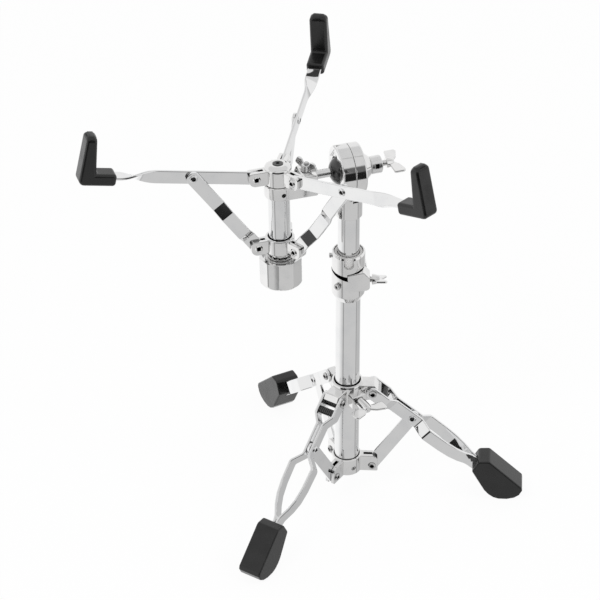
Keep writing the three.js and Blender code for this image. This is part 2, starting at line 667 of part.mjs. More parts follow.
// Ball, offset rod and the casting that grips the rod and holds the basket's centre tube
function addOffset() {
  const socket = alongX(rod(ROD_R + 0.2, 2, 30, SMALL_SIDES));
  const ball = cut(new THREE.SphereGeometry(BALL_R, 20, 12), socket);
  addMesh(basket, "tilter_ball", ball, blackPlastic);
  addMesh(basket, "offset_rod", alongX(chamferedRod(ROD_R, 2.3, ROD_END, 0.6, SMALL_SIDES)), chrome);

  const hubRing = revolve([
    [0, CASTING_BOTTOM],
    [CASTING_R - 3, CASTING_BOTTOM],
    [CASTING_R, CASTING_BOTTOM + 3],
    [CASTING_R, CASTING_TOP],
    [0, CASTING_TOP],
  ]).translate(HUB_X, 0, 0);
  const web = upright(
    plate(
      rounded([
        [HUB_X, CASTING_BOTTOM],
        [CASTING_END, CASTING_BOTTOM, 1.5],
        [CASTING_END, 7, 1.5],
        [46, 7, 3],
        [50, CASTING_TOP - 0.1],
        [HUB_X, CASTING_TOP - 0.1],
      ]),
      2 * CASTING_HALF_WIDTH,
      1.2,
    ),
  );
  const rodHole = alongX(rod(ROD_R + FIT, 10, 53, SMALL_SIDES));
  const tubeHole = rod(CENTRE_TUBE_R + FIT, CASTING_BOTTOM - 5, -7.6).translate(HUB_X, 0, 0);
  const studHole = rod(3.4, -12, 5, SMALL_SIDES).translate(HUB_X, 0, 0);
  const clampSlot = box(20, 45, -0.8, 0.8, 0, 20);
  const boltHole = rod(2.6, 4, 20, PIN_SIDES).translate(CLAMP_NUT_X, 0, 0);
  const sideGroove = box(40.4, 41.8, -30, 1 - CASTING_HALF_WIDTH, -30, -5);
  const screwHole = alongX(rod(2.2, 0, 30, PIN_SIDES)).rotateZ(radians(-265));
  screwHole.translate(HUB_X, 0, -9);
  const holes = [rodHole, tubeHole, studHole, clampSlot, boltHole, screwHole, sideGroove];
  const casting = cut(join(hubRing, web), ...holes);
  addMesh(basket, "offset_casting", casting, castChrome);

  const setScrew = alongX(chamferedRod(2, CENTRE_TUBE_R + FIT, CASTING_R - 1.4, 0.4, PIN_SIDES));
  setScrew.rotateZ(radians(-265)).translate(HUB_X, 0, -9);
  addMesh(basket, "casting_set_screw", setScrew, steel);

  const boltProfile = [[0, 4.7], [2.4, 4.7], [2.4, 15.4], [1.8, 16], [0, 16]];
  const bolt = revolve(boltProfile, PIN_SIDES).translate(CLAMP_NUT_X, 0, 0);
  addMesh(basket, "rod_clamp_bolt", bolt, steel);
  const nutBody = revolve([[2.7, 7.3], [6, 7.3], [5.2, 11], [4.4, 14], [2.7, 14], [2.7, 7.3]], 16);
  const wingCorners = [[4, 8], [9, 8.6, 2], [15.5, 11.6, 2], [11.5, 18.6, 2], [6.5, 18.2, 2], [4, 13.5]];
  const wingOutline = rounded(wingCorners, 3);
  const wings = [0, Math.PI].map((turn) => upright(plate(wingOutline, 2.4)).rotateZ(turn));
  const nut = join(nutBody, ...wings).rotateZ(radians(117)).translate(CLAMP_NUT_X, 0, 0);
  addMesh(basket, "rod_clamp_wing_nut", nut, castChrome);
}

// Pair of ears about a pivot at radius HUB_PIVOT_R, with the staked pin through them
function earPair(azimuth, pivotZ, from) {
  const outline = rounded([
    [from, pivotZ - EAR_R],
    [HUB_PIVOT_R + EAR_R, pivotZ - EAR_R, EAR_R - 0.5],
    [HUB_PIVOT_R + EAR_R, pivotZ + EAR_R, 3],
    [from, pivotZ + EAR_R],
  ]);
  const block = upright(plate(outline, 2 * EAR_OUTER));
  const slot = box(15.4, 40, -EAR_INNER, EAR_INNER, pivotZ - 20, pivotZ + 20);
  const pin = headedPin(EAR_OUTER - 0.3, HUB_PIVOT_R, pivotZ);
  return join(cut(block, slot), pin).rotateZ(radians(azimuth));
}

// Hub under the domed cap, and the sliding spider below it
function addHubs() {
  const group = new THREE.Group();
  group.position.x = HUB_X;
  basket.add(group);

  const ears = (pivotZ) => ARM_AZIMUTHS.map((azimuth) => earPair(azimuth, pivotZ, 8));
  const body = rod(HUB_R, CASTING_TOP + FIT, HUB_TOP);
  const dome = revolve([
    [0, HUB_TOP - 0.5],
    [13.4, HUB_TOP - 0.5],
    [13.5, HUB_TOP + 1.2],
    [11.5, HUB_TOP + 3.4],
    [8, HUB_TOP + 5],
    [0, HUB_TOP + 5],
  ]);
  const stud = rod(3.1, -6.8, 3, SMALL_SIDES);
  const recess = rod(5.6, HUB_TOP + 2.8, HUB_TOP + 10, 24);
  addMesh(group, "basket_hub", cut(join(body, dome, stud, ...ears(HUB_PIVOT_Z)), recess), castChrome);
  const capScrew = cut(
    chamferedRod(5.2, HUB_TOP + 3, HUB_TOP + 5.6, 0.6, 24),
    rod(2.1, HUB_TOP + 4, HUB_TOP + 8, 6),
  );
  addMesh(group, "hub_cap_screw", capScrew, blackPlastic);

  const tube = pipe(CENTRE_TUBE_R, CENTRE_TUBE_R - 1.6, CENTRE_TUBE_BOTTOM, -7.9);
  addMesh(group, "centre_tube", tube, chrome);

  const sliderBody = revolve([
    [0, SLIDER_BOTTOM],
    [12.6, SLIDER_BOTTOM],
    [12.8, SLIDER_PIVOT_Z - EAR_R],
    [14.6, SLIDER_PIVOT_Z - EAR_R],
    [14.6, SLIDER_TOP - 1],
    [13.6, SLIDER_TOP],
    [0, SLIDER_TOP],
  ]);
  const slider = cut(
    join(sliderBody, ...ears(SLIDER_PIVOT_Z)),
    rod(CENTRE_TUBE_R + FIT, SLIDER_BOTTOM - 5, SLIDER_TOP + 5),
  );
  addMesh(group, "slider", slider, castChrome);

  const washer = pipe(15.5, CENTRE_TUBE_R + FIT, SLIDER_BOTTOM - 2.1, SLIDER_BOTTOM - FIT, 24);
  addMesh(group, "thrust_washer", washer, steel);
  addNut(group);
}

// Knob nut with shallow flutes and a recess for the washer
function addNut(group) {
  const outline = [];
  const perFlute = 3;
  for (let i = 0; i < NUT_FLUTES * perFlute; i += 1) {
    const angle = (2 * Math.PI * i) / (NUT_FLUTES * perFlute);
    const dip = i % perFlute ? 0.9 + 0.35 * Math.sin((Math.PI * (i % perFlute)) / perFlute) : 0;
    outline.push([(NUT_R - dip) * Math.cos(angle), (NUT_R - dip) * Math.sin(angle)]);
  }
  const height = NUT_RIM - NUT_BOTTOM;
  const fluted = plate(outline, height, 0).translate(0, 0, (NUT_RIM + NUT_BOTTOM) / 2);
  const envelope = revolve([
    [0, NUT_BOTTOM],
    [NUT_R - 3.6, NUT_BOTTOM],
    [NUT_R, NUT_BOTTOM + 5],
    [NUT_R + 0.5, NUT_RIM - 2],
    [NUT_R - 1.2, NUT_RIM],
    [0, NUT_RIM],
  ]);
  const recess = rod(18.6, NUT_FLOOR, NUT_RIM + 5, NUT_FLUTES);
  const bore = rod(CENTRE_TUBE_R + FIT, NUT_BOTTOM + 3, NUT_RIM + 5);
  addMesh(group, "basket_nut", cut(common(fluted, envelope), recess, bore), castChrome);
}

// Flat arm on edge that turns flat before the hook, as a loft of rectangles along its length
function armSolid() {
  const stations = [
    [-7, 5],
    [-6.2, 8.8],
    [-4.4, 11.9],
    [-2, 13.6],
    [0.5, STRAP_HEIGHT],
    [ARM_TWIST_START, STRAP_HEIGHT],
  ];
  const twistSteps = 6;
  for (let i = 1; i <= twistSteps; i += 1) {
    stations.push([ARM_TWIST_START + ((ARM_TWIST_END - ARM_TWIST_START) * i) / twistSteps, STRAP_HEIGHT]);
  }
  stations.push([ARM_END, STRAP_HEIGHT]);
  const corners = [];
  stations.forEach(([s, height]) => {
    const share = THREE.MathUtils.clamp((s - ARM_TWIST_START) / (ARM_TWIST_END - ARM_TWIST_START), 0, 1);
    const turn = (-Math.PI / 2) * share * share * (3 - 2 * share);
    [[-1, -1], [1, -1], [1, 1], [-1, 1]].forEach(([i, j]) => {
      const y = (i * STRAP_THICK) / 2;
      const z = (j * height) / 2;
      corners.push(s, y * Math.cos(turn) - z * Math.sin(turn), y * Math.sin(turn) + z * Math.cos(turn));
    });
  });
  const faces = [0, 2, 1, 0, 3, 2];
  for (let k = 0; k + 1 < stations.length; k += 1) {
    for (let c = 0; c < 4; c += 1) {
      const a = 4 * k + c;
      const b = 4 * k + ((c + 1) % 4);
      faces.push(a, b, b + 4, a, b + 4, a + 4);
    }
  }
  const last = 4 * (stations.length - 1);
  faces.push(last, last + 1, last + 2, last, last + 2, last + 3);
  const geometry = new THREE.BufferGeometry();
  geometry.setAttribute("position", new THREE.BufferAttribute(new Float32Array(corners), 3));
  geometry.setIndex(faces);
  return geometry;
}

// Rubber-covered L hook, drawn along the arm: its floor lies on the arm and its wall stands outside
function hook() {
  const profile = rounded(
    [
      [HOOK_START, -7.4, 1.5],
      [HOOK_START + 37.4, -7.4, 3],
      [HOOK_START + 36, HOOK_TOP, 4.6],
      [HOOK_START + 26, HOOK_TOP, 4.6],
      [HOOK_START + 21, 5.2],
      [HOOK_START, 5.2, 1.5],
    ],
    3,
  );
  const solid = upright(plate(profile, HOOK_WIDTH, 1.3));
  const face = rounded([
    [-HOOK_WIDTH / 2, -20],
    [HOOK_WIDTH / 2, -20],
    [HOOK_WIDTH / 2, HOOK_TOP, 6],
    [-HOOK_WIDTH / 2, HOOK_TOP, 6],
  ]);
  const trimmed = common(solid, facingX(plate(face, 120)).translate(HOOK_START + 20, 0, 0));
  const pocket = box(HOOK_START - 5, ARM_END + FIT, -7 - FIT, 7 + FIT, -1.4 - FIT, 1.4 + FIT);
  return cut(trimmed, pocket);
}

function addArm(index) {
  const name = ARM_SIDES[index];
  const turn = addTurnedGroup(basket, ARM_AZIMUTHS[index]);
  turn.position.x = HUB_X;
  const place = (geometry) =>
    geometry.rotateY(radians(-ARM_SLOPE)).translate(HUB_PIVOT_R, 0, HUB_PIVOT_Z);
  const flat = cut(armSolid(), pinHole(0, 0));
  const arm = join(flat, rivetHead(ARM_RIVET, -STRAP_THICK / 2, 0, -1));
  addMesh(turn, `arm_${name}`, place(arm), chrome);
  addMesh(turn, `hook_${name}`, place(hook()), rubber);

  const path = [
    [-7, 0],
    [16, 0],
    [27, STRUT_BUMP],
    [56, STRUT_BUMP],
    [68, STRUT_BESIDE],
    [STRUT_LENGTH + 7, STRUT_BESIDE],
  ];
  const strip = plate(ribbon(path, STRAP_THICK), STRAP_HEIGHT);
  const sides = upright(plate(bar(STRUT_LENGTH, STRAP_HEIGHT, -7, 7), 40));
  const shaped = cut(common(strip, sides), pinHole(0, 0));
  const strut = join(shaped, rivetHead(STRUT_LENGTH, STRUT_BESIDE + STRAP_THICK / 2, 0, 1));
  strut.rotateY(radians(STRUT_LEAN - 90)).translate(HUB_PIVOT_R, 0, SLIDER_PIVOT_Z);
  addMesh(turn, `strut_${name}`, strut, chrome);
}

addColumn();
addLowerCollar();
addLegCrown();
LEG_SIDES.forEach((_, index) => addLeg(index));
addHeightClamp();
addTilter();
addOffset();
addHubs();
ARM_SIDES.forEach((_, index) => addArm(index));

// The origin is on the floor under the middle of the whole stand
const extent = new THREE.Box3().setFromObject(stand, true);
const middle = extent.getCenter(new THREE.Vector3());
stand.position.set(-middle.x, -middle.y, -extent.min.z);

export default stand;
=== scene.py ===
"""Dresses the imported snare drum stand: bright plated tube, strip and castings, black hooks and feet.

Shapes are drawn in millimetres about their own pivots and put in place by the frame's joints.
"""
import json
import math

import bpy
from mathutils import Matrix, Vector


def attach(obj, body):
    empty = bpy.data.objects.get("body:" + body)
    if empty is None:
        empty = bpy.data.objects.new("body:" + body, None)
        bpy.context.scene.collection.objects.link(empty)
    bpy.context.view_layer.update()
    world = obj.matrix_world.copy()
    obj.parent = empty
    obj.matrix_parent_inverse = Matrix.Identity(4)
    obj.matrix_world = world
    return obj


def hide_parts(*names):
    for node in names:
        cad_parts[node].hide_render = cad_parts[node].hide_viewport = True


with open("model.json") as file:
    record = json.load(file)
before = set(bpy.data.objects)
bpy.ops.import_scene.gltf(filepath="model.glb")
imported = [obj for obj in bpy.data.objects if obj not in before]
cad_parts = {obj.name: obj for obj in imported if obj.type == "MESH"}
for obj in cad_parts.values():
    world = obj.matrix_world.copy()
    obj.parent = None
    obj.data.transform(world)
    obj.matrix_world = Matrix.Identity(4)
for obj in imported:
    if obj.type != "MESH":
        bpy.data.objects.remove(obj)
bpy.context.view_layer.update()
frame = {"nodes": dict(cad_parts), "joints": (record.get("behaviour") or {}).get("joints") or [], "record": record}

MM = 0.001
UP = Vector((0, 0, 1))

# Column and its fittings
LOWER_TUBE_R = 12.7
LOWER_TUBE_BORE = 11.45
LOWER_TUBE_BOTTOM = 26.5
LOWER_TUBE_TOP = 275
UPPER_TUBE_R = 11.1
UPPER_TUBE_BORE = 9.7
UPPER_TUBE_BOTTOM = 80
UPPER_TUBE_TOP = 368
FIT = 0.3
COLLAR_R = 15.3
COLLAR_TOP = 46
COLLAR_PIVOT = (26.5, 33)
CROWN_R = 16.5
CROWN_BOTTOM = 116
CROWN_TOP = 142
CROWN_PIVOT = (26.5, 131)
CROWN_LUG_HALF = 8.2
CROWN_BOSS_R = 23
CROWN_BOSS_HALF_WIDTH = 8.5
CROWN_BOLT_Z = 127
CLAMP_R = 17
CLAMP_BOTTOM = 248
CLAMP_TOP = 304
SOCKET_TOP = 279.75
SOCKET_TILT = 15
RING_BOTTOM = 283.5
RING_TILT = 7
CLAMP_GAP_AZIMUTH = -45
CLAMP_BOLT = (15, -9.5, 274.8)
BUSHING_R = 14.6

# Legs and braces
STRAP_HEIGHT = 14
STRAP_THICK = 2.8
LEG_RIVET = (67.4, 95.6)
EAR_INNER = 1.75
EAR_OUTER = 5.2
PIN_R = 2.5
PIN_HEAD_R = 4.1
PIN_HOLLOW_R = 2.1
STRIP_EDGE = 0.9
FOOT_HALF_WIDTH = 12.8

# Ball tilter, drawn about the ball housing's centre with x towards the basket
TILTER_R = 26
TILTER_FRONT = 13.5
TILTER_REAR = 11.5
TILTER_SEAM = 0.15
NECK_R = 13.6
NECK_BOTTOM = -54
NECK_TOP = -33
BALL_R = 16.2
BALL_OPENING_R = 15
BALL_OFFSET = 5
SLEEVE_R = 9

# Basket, drawn about the ball's centre with x along the offset rod
ROD_R = 4.5
HUB_X = 68
HUB_R = 13
HUB_TOP = 15
HUB_PIVOT_R = 23.4
HUB_PIVOT_Z = 8
EAR_R = 7.5
CASTING_R = 14.5
CASTING_BOTTOM = -16.3
CASTING_TOP = -1.4
CASTING_END = 31
CASTING_HALF_WIDTH = 13
CLAMP_NUT_X = 39
CENTRE_TUBE_R = 11
CENTRE_TUBE_BOTTOM = -110
SLIDER_PIVOT_Z = -70.3
SLIDER_TOP = -61.7
SLIDER_BOTTOM = -85
NUT_R = 22
NUT_RIM = -84.4
NUT_FLOOR = -87.6
NUT_BOTTOM = -115.4
NUT_FLUTES = 10
ARM_SLOPE = 11.72
ARM_RIVET = 64.2
ARM_TWIST_START = 100
ARM_TWIST_END = 140
ARM_END = 172
STRUT_LENGTH = 111.1
STRUT_LEAN = 34.68
STRUT_BESIDE = 3.1
STRUT_BUMP = 8.2
HOOK_START = 143.3
HOOK_WIDTH = 18
HOOK_HEIGHT = 45.8

joints = {joint["name"]: joint for joint in frame["joints"]}
bodies = frame["record"]["behaviour"]["bodies"]
body_of = {node: body for body, nodes in bodies.items() for node in nodes}


def pivot(joint):
    return Vector(joints[joint]["pos_m"])


def axis(joint):
    return Vector(joints[joint]["axis"]).normalized()


def placed(origin, x_axis, z_axis):
    """The place of a piece drawn about its own origin, x and z."""
    turn = Matrix((x_axis, z_axis.cross(x_axis), z_axis)).transposed()
    return Matrix.Translation(origin) @ turn.to_4x4()


def turned_about(letter, degrees):
    return Matrix.Rotation(math.radians(degrees), 4, letter)


def moved(x, y, z):
    return Matrix.Translation(Vector((x, y, z)) * MM)


# Where each group of pieces is drawn
column_foot = Vector((pivot("mast_swivel").x, pivot("mast_swivel").y, 0))
column = Matrix.Translation(column_foot)
tilter = placed(
    Vector((column_foot.x, column_foot.y, pivot("basket_tilt").z)), axis("rod_roll"), UP
)
basket = placed(pivot("basket_tilt"), axis("rod_roll"), axis("basket_fold"))
hub = basket @ moved(HUB_X, 0, 0)
crown_screw = placed(
    Vector((column_foot.x, column_foot.y, pivot("crown_screw_turn").z)), axis("crown_screw_turn"), UP
)
clamp_screw = placed(
    Vector((column_foot.x, pivot("clamp_screw_turn").y, pivot("clamp_screw_turn").z)), Vector((1, 0, 0)), UP
)


def leg_place(side):
    """A leg's upright plane: x outwards from the column, z up."""
    return placed(column_foot, axis(f"leg_{side}_hinge").cross(UP), UP)


def strap_place(side):
    """Down a leg from its crown pivot."""
    slope = math.degrees(
        math.atan2(CROWN_PIVOT[1] - LEG_RIVET[1], LEG_RIVET[0] - CROWN_PIVOT[0])
    )
    return leg_place(side) @ moved(CROWN_PIVOT[0], 0, CROWN_PIVOT[1]) @ turned_about("Y", slope)


def arm_place(side):
    """Out along an arm from its hub pivot."""
    outwards = -axis(f"arm_{side}_hinge").cross(axis("basket_fold"))
    place = placed(pivot(f"arm_{side}_hinge"), outwards, axis("basket_fold"))
    return place @ turned_about("Y", -ARM_SLOPE)


def strut_place(side):
    """Up along a strut from its pivot on the slider."""
    outwards = -axis(f"strut_{side}_hinge").cross(axis("basket_fold"))
    place = placed(pivot(f"strut_{side}_hinge"), outwards, axis("basket_fold"))
    return place @ turned_about("Y", STRUT_LEAN - 90)


# Ways of shaping a piece
def begin():
    """Leaves nothing selected, so that the next operator works on the new piece alone."""
    if bpy.context.object and bpy.context.object.mode != "OBJECT":
        bpy.ops.object.mode_set(mode="OBJECT")
    bpy.ops.object.select_all(action="DESELECT")


def take(piece):
    begin()
    piece.select_set(True)
    bpy.context.view_layer.objects.active = piece


def seat_in_mesh(piece, place):
    """Moves the piece to its place and carries that place into its mesh."""
    take(piece)
    piece.matrix_world = place
    bpy.ops.object.transform_apply(location=True, rotation=True, scale=True)
    return piece


def turned(rings, sides=64, hollow=False):
    """Turns a piece about z, ring by ring, from (radius, height) pairs."""
    begin()
    radius, height = rings[0]
    bpy.ops.mesh.primitive_circle_add(
        vertices=sides, radius=radius * MM, fill_type="NOTHING" if hollow else "NGON"
    )
    piece = bpy.context.object
    seat_in_mesh(piece, moved(0, 0, height))
    bpy.ops.object.mode_set(mode="EDIT")
    bpy.ops.mesh.select_all(action="SELECT")
    for next_radius, next_height in rings[1:]:
        step = {"value": (0, 0, (next_height - height) * MM)}
        if hollow:
            bpy.ops.mesh.extrude_edges_move(TRANSFORM_OT_translate=step)
        else:
            bpy.ops.mesh.extrude_region_move(TRANSFORM_OT_translate=step)
        grow = next_radius / radius
        bpy.ops.transform.resize(value=(grow, grow, 1), center_override=(0, 0, next_height * MM))
        radius, height = next_radius, next_height
    bpy.ops.mesh.select_all(action="SELECT")
    bpy.ops.mesh.remove_doubles(threshold=0.001 * MM)
    bpy.ops.mesh.normals_make_consistent(inside=False)
    bpy.ops.object.mode_set(mode="OBJECT")
    return piece


def tube(outer, inner, bottom, top, sides=64, lip=0.3):
    """A tube whose rims are broken by a small lip."""
    return turned(
        [
            (inner + lip, bottom),
            (outer - lip, bottom),
            (outer, bottom + lip),
            (outer, top - lip),
            (outer - lip, top),
            (inner + lip, top),
            (inner, top - lip),
            (inner, bottom + lip),
            (inner + lip, bottom),
        ],
        sides,
        hollow=True,
    )


def rod(radius, bottom, top, chamfer=0.0, sides=48):
    if not chamfer:
        return turned([(radius, bottom), (radius, top)], sides)
    return turned(
        [
            (radius - chamfer, bottom),
            (radius, bottom + chamfer),
            (radius, top - chamfer),
            (radius - chamfer, top),
        ],
        sides,
    )


def drawn(outline, thickness, flat=False):
    """Runs one point round an outline in x and z, fills it and thickens it along y.

    A flat outline lies in x and y and is thickened along z.
    """
    def lay(across, along):
        return (across * MM, along * MM, 0) if flat else (across * MM, 0, along * MM)

    begin()
    bpy.ops.mesh.primitive_plane_add(size=MM)
    piece = bpy.context.object
    seat_in_mesh(piece, Matrix.Translation(lay(*outline[0])))
    bpy.ops.object.mode_set(mode="EDIT")
    bpy.ops.mesh.select_all(action="SELECT")
    bpy.ops.mesh.merge(type="CENTER")
    for here, there in zip(outline, [*outline[1:], outline[0]]):
        step = {"value": lay(there[0] - here[0], there[1] - here[1])}
        bpy.ops.mesh.extrude_vertices_move(TRANSFORM_OT_translate=step)
    bpy.ops.mesh.select_all(action="SELECT")
    bpy.ops.mesh.remove_doubles(threshold=0.01 * MM)
    bpy.ops.mesh.edge_face_add()
    through = Vector((0, 0, thickness) if flat else (0, thickness, 0)) * MM
    bpy.ops.transform.translate(value=through * -0.5)
    bpy.ops.mesh.extrude_region_move(TRANSFORM_OT_translate={"value": through})
    bpy.ops.mesh.select_all(action="SELECT")
    bpy.ops.mesh.normals_make_consistent(inside=False)
    bpy.ops.object.mode_set(mode="OBJECT")
    return piece


def block(low, high):
    """A rectangular block between two corners."""
    begin()
    bpy.ops.mesh.primitive_cube_add(size=MM)
    size = [b - a for a, b in zip(low, high)]
    middle = [(a + b) / 2 for a, b in zip(low, high)]
    scale = Matrix.Diagonal((*size, 1))
    return seat_in_mesh(bpy.context.object, moved(*middle) @ scale)


def ball(radius, centre_x):
    begin()
    bpy.ops.mesh.primitive_uv_sphere_add(segments=64, ring_count=32, radius=radius * MM)
    return seat_in_mesh(bpy.context.object, moved(centre_x, 0, 0) @ turned_about("Y", 90))


def combine(piece, operation, others):
    """Joins or cuts solids. Each has two finish slots, and the second is for the painted shade in hollows and
    gaps.
    """
    for solid in (piece, *others):
        while len(solid.data.materials) < 2:
            solid.data.materials.append(None)
    take(piece)
    for other in others:
        modifier = piece.modifiers.new("join", "BOOLEAN")
        modifier.operation = operation
        modifier.solver = "EXACT"
        modifier.object = other
        bpy.ops.object.modifier_apply(modifier=modifier.name)
        bpy.data.objects.remove(other)
    return piece


def weld(piece, *others):
    return combine(piece, "UNION", others)


def cut(piece, *tools):
    return combine(piece, "DIFFERENCE", tools)


def lying_along_x(piece):
    """Turns a piece from along z to along x."""
    return seat_in_mesh(piece, turned_about("Y", 90))


def break_edges(piece, width, segments=3, angle=32, full=False):
    """Rounds every edge that is sharper than the angle; full keeps the width where edges are short."""
    take(piece)
    bevel = piece.modifiers.new("edges", "BEVEL")
    bevel.width = width * MM
    bevel.segments = segments
    bevel.limit_method = "ANGLE"
    bevel.angle_limit = math.radians(angle)
    bevel.use_clamp_overlap = not full
    bpy.ops.object.modifier_apply(modifier=bevel.name)
    return piece


def rolled(piece):
    """Rounds the long edges of a strip, as rolling does."""
    return break_edges(piece, STRIP_EDGE, segments=4, angle=60, full=True)


def copied(piece):
    """A second piece of the same shape with its own mesh."""
    twin = piece.copy()
    twin.data = piece.data.copy()
    bpy.context.scene.collection.objects.link(twin)
    return twin


def fitted(piece, place, finish, node, smooth=34):
    """Gives a shaped piece its shading, its place, its finish and its body, in place of the CAD node."""
    take(piece)
    bpy.ops.object.shade_smooth_by_angle(angle=math.radians(smooth))
    even = piece.modifiers.new("even shading", "WEIGHTED_NORMAL")
    even.keep_sharp = True
    bpy.ops.object.modifier_apply(modifier=even.name)
    seat_in_mesh(piece, place)
    piece.name = node + "_finished"
    # Faces in the second slot take the near-black painted shade of hollows and gaps.
    has_painted_shade = any(face.material_index == 1 for face in piece.data.polygons)
    if has_painted_shade:
        piece.data.materials[0] = finish
        piece.data.materials[1] = painted_shade_finish
    else:
        piece.data.materials.clear()
        piece.data.materials.append(finish)
    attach(piece, body_of[node])
    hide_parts(node)


# Outlines
def rounded(corners, steps=6):
    """An outline whose (x, y, radius) corners are rounded by arcs."""
    outline = []
    for index, (x, y, *rest) in enumerate(corners):
        if not rest:
            outline.append((x, y))
            continue
        corner = Vector((x, y))
        back = (Vector(corners[index - 1][:2]) - corner).normalized()
        ahead = (Vector(corners[(index + 1) % len(corners)][:2]) - corner).normalized()
        half = back.angle(ahead) / 2
        centre = corner + (back + ahead).normalized() * rest[0] / math.sin(half)
        start = corner + back * rest[0] / math.tan(half) - centre
        end = corner + ahead * rest[0] / math.tan(half) - centre
        sweep = math.atan2(start.x * end.y - start.y * end.x, start.dot(end))
        for step in range(steps + 1):
            point = centre + Matrix.Rotation(sweep * step / steps, 2) @ start
            outline.append((point.x, point.y))
    return outline


def bent(path, radius):
    """A path whose inner corners are rounded as a strip bends."""
    corners = [path[0], *[(x, y, radius) for x, y in path[1:-1]], path[-1]]
    return rounded(corners, 5)


def strip(path, thickness):
    """The outline of a strip that follows a path and keeps its thickness."""
    left = []
    right = []
    points = [Vector(point) for point in path]
    for index, point in enumerate(points):
        before = points[max(index - 1, 0)]
        after = points[min(index + 1, len(points) - 1)]
        along = (after - before).normalized()
        across = Vector((-along.y, along.x)) * thickness / 2
        left.append(tuple(point + across))
        right.insert(0, tuple(point - across))
    return left + right


def round_ended(length):
    """The side view of a strip that is fully rounded about each of its two pivots."""
    half = STRAP_HEIGHT / 2
    end = length + half
    radius = half - 0.01
    corners = [(-half, -half), (end, -half), (end, half), (-half, half)]
    return rounded([(*corner, radius) for corner in corners], 10)


# Finishes
class Value:
    """A number in a shader; arithmetic on it adds the Math nodes that work it out."""

    def __init__(self, shader, socket):
        self.shader = shader
        self.socket = socket

    def __add__(self, other):
        return self.shader.math("ADD", self, other)

    def __radd__(self, other):
        return self.shader.math("ADD", other, self)

    def __sub__(self, other):
        return self.shader.math("SUBTRACT", self, other)

    def __rsub__(self, other):
        return self.shader.math("SUBTRACT", other, self)

    def __mul__(self, other):
        return self.shader.math("MULTIPLY", self, other)

    def __rmul__(self, other):
        return self.shader.math("MULTIPLY", other, self)


class Shader:
    """A node tree that is written from values."""

    def __init__(self, tree):
        self.tree = tree
        tree.nodes.clear()

    def node(self, kind, settings=None, sockets=None, output=0):
        made = self.tree.nodes.new(kind)
        for name, value in (settings or {}).items():
            setattr(made, name, value)
        for name, value in (sockets or {}).items():
            if isinstance(value, Value):
                self.tree.links.new(value.socket, made.inputs[name])
            else:
                made.inputs[name].default_value = value
        return Value(self, made.outputs[output]) if made.outputs else None

    def math(self, operation, first, second):
        return self.node("ShaderNodeMath", {"operation": operation}, {0: first, 1: second})

    def clamped(self, value):
        return self.node("ShaderNodeClamp", None, {"Value": value})

    def colour_mix(self, share, first, second):
        settings = {"data_type": "RGBA", "clamp_factor": True}
        return self.node("ShaderNodeMix", settings, {0: share, 6: first, 7: second}, 2)

    def noise(self, scale, detail=2.0):
        """Noise in the piece's own space, in features per metre."""
        place = self.node("ShaderNodeTexCoord", None, None, "Object")
        sockets = {"Vector": place, "Scale": scale, "Detail": detail}
        return self.node("ShaderNodeTexNoise", None, sockets)

    def smoothstep(self, value, low, high):
        """0 below low, 1 above high, smooth between."""
        settings = {"interpolation_type": "SMOOTHSTEP"}
        return self.node("ShaderNodeMapRange", settings, {"Value": value, 1: low, 2: high})


def surface(name):
    material = bpy.data.materials.new(name)
    material.use_nodes = True
    return material, Shader(material.node_tree)


def finish_surface(shader, fixed, changing):
    """Ends a material in its surface shader, with its fixed and its changing sockets."""
    body = shader.node("ShaderNodeBsdfPrincipled", None, {**fixed, **changing})
    shader.node("ShaderNodeOutputMaterial", None, {"Surface": body})


def grey(level, tint=(0.0, 0.0, 0.0)):
    return (level + tint[0], level + tint[1], level + tint[2], 1.0)


def plating(name, bright, worn, smooth, rough, ripple):
    """Polished plating: a faint ripple from the metal under it and a haze that comes and goes."""
    material, shader = surface(name)
    haze = shader.smoothstep(shader.noise(55.0, 4.0), 0.38, 0.72)
    specks = shader.smoothstep(shader.noise(1400.0, 1.0), 0.66, 0.78)
    colour = shader.colour_mix(haze, bright, worn)
    roughness = smooth + (rough - smooth) * haze + 0.06 * specks
    waves = shader.noise(170.0, 2.0) + 0.12 * shader.noise(1100.0, 2.0)
    bump = shader.node(
        "ShaderNodeBump", None, {"Strength": ripple, "Distance": 0.00035, "Height": waves}
    )
    finish_surface(
        shader, {"Metallic": 1.0}, {"Base Color": colour, "Roughness": roughness, "Normal": bump}
    )
    return material


def zinc(name, bright, worn):
    """Zinc on small pins and screws, duller in patches and lightly pitted."""
    material, shader = surface(name)
    patches = shader.smoothstep(shader.noise(420.0, 4.0), 0.35, 0.7)
    colour = shader.colour_mix(patches, bright, worn)
    roughness = 0.2 + 0.16 * patches
    bump = shader.node(
        "ShaderNodeBump",
        None,
        {"Strength": 0.12, "Distance": 0.0002, "Height": shader.noise(1900.0, 3.0)},
    )
    finish_surface(
        shader, {"Metallic": 1.0}, {"Base Color": colour, "Roughness": roughness, "Normal": bump}
    )
    return material


def moulded(name, dark, light, smooth, rough, grain, depth, coat=0.0):
    """Moulded rubber or plastic: fine grain, soft cloudiness and a rubbed, paler bloom."""
    material, shader = surface(name)
    clouds = shader.smoothstep(shader.noise(75.0, 5.0), 0.3, 0.75)
    fine = shader.noise(grain, 3.0)
    colour = shader.colour_mix(clouds * 0.7 + fine * 0.3, dark, light)
    roughness = smooth + (rough - smooth) * clouds + 0.05 * fine
    bump = shader.node("ShaderNodeBump", None, {"Strength": depth, "Distance": 0.0003, "Height": fine})
    finish_surface(
        shader,
        {"Coat Weight": coat, "Coat Roughness": 0.12},
        {"Base Color": colour, "Roughness": roughness, "Normal": bump},
    )
    return material


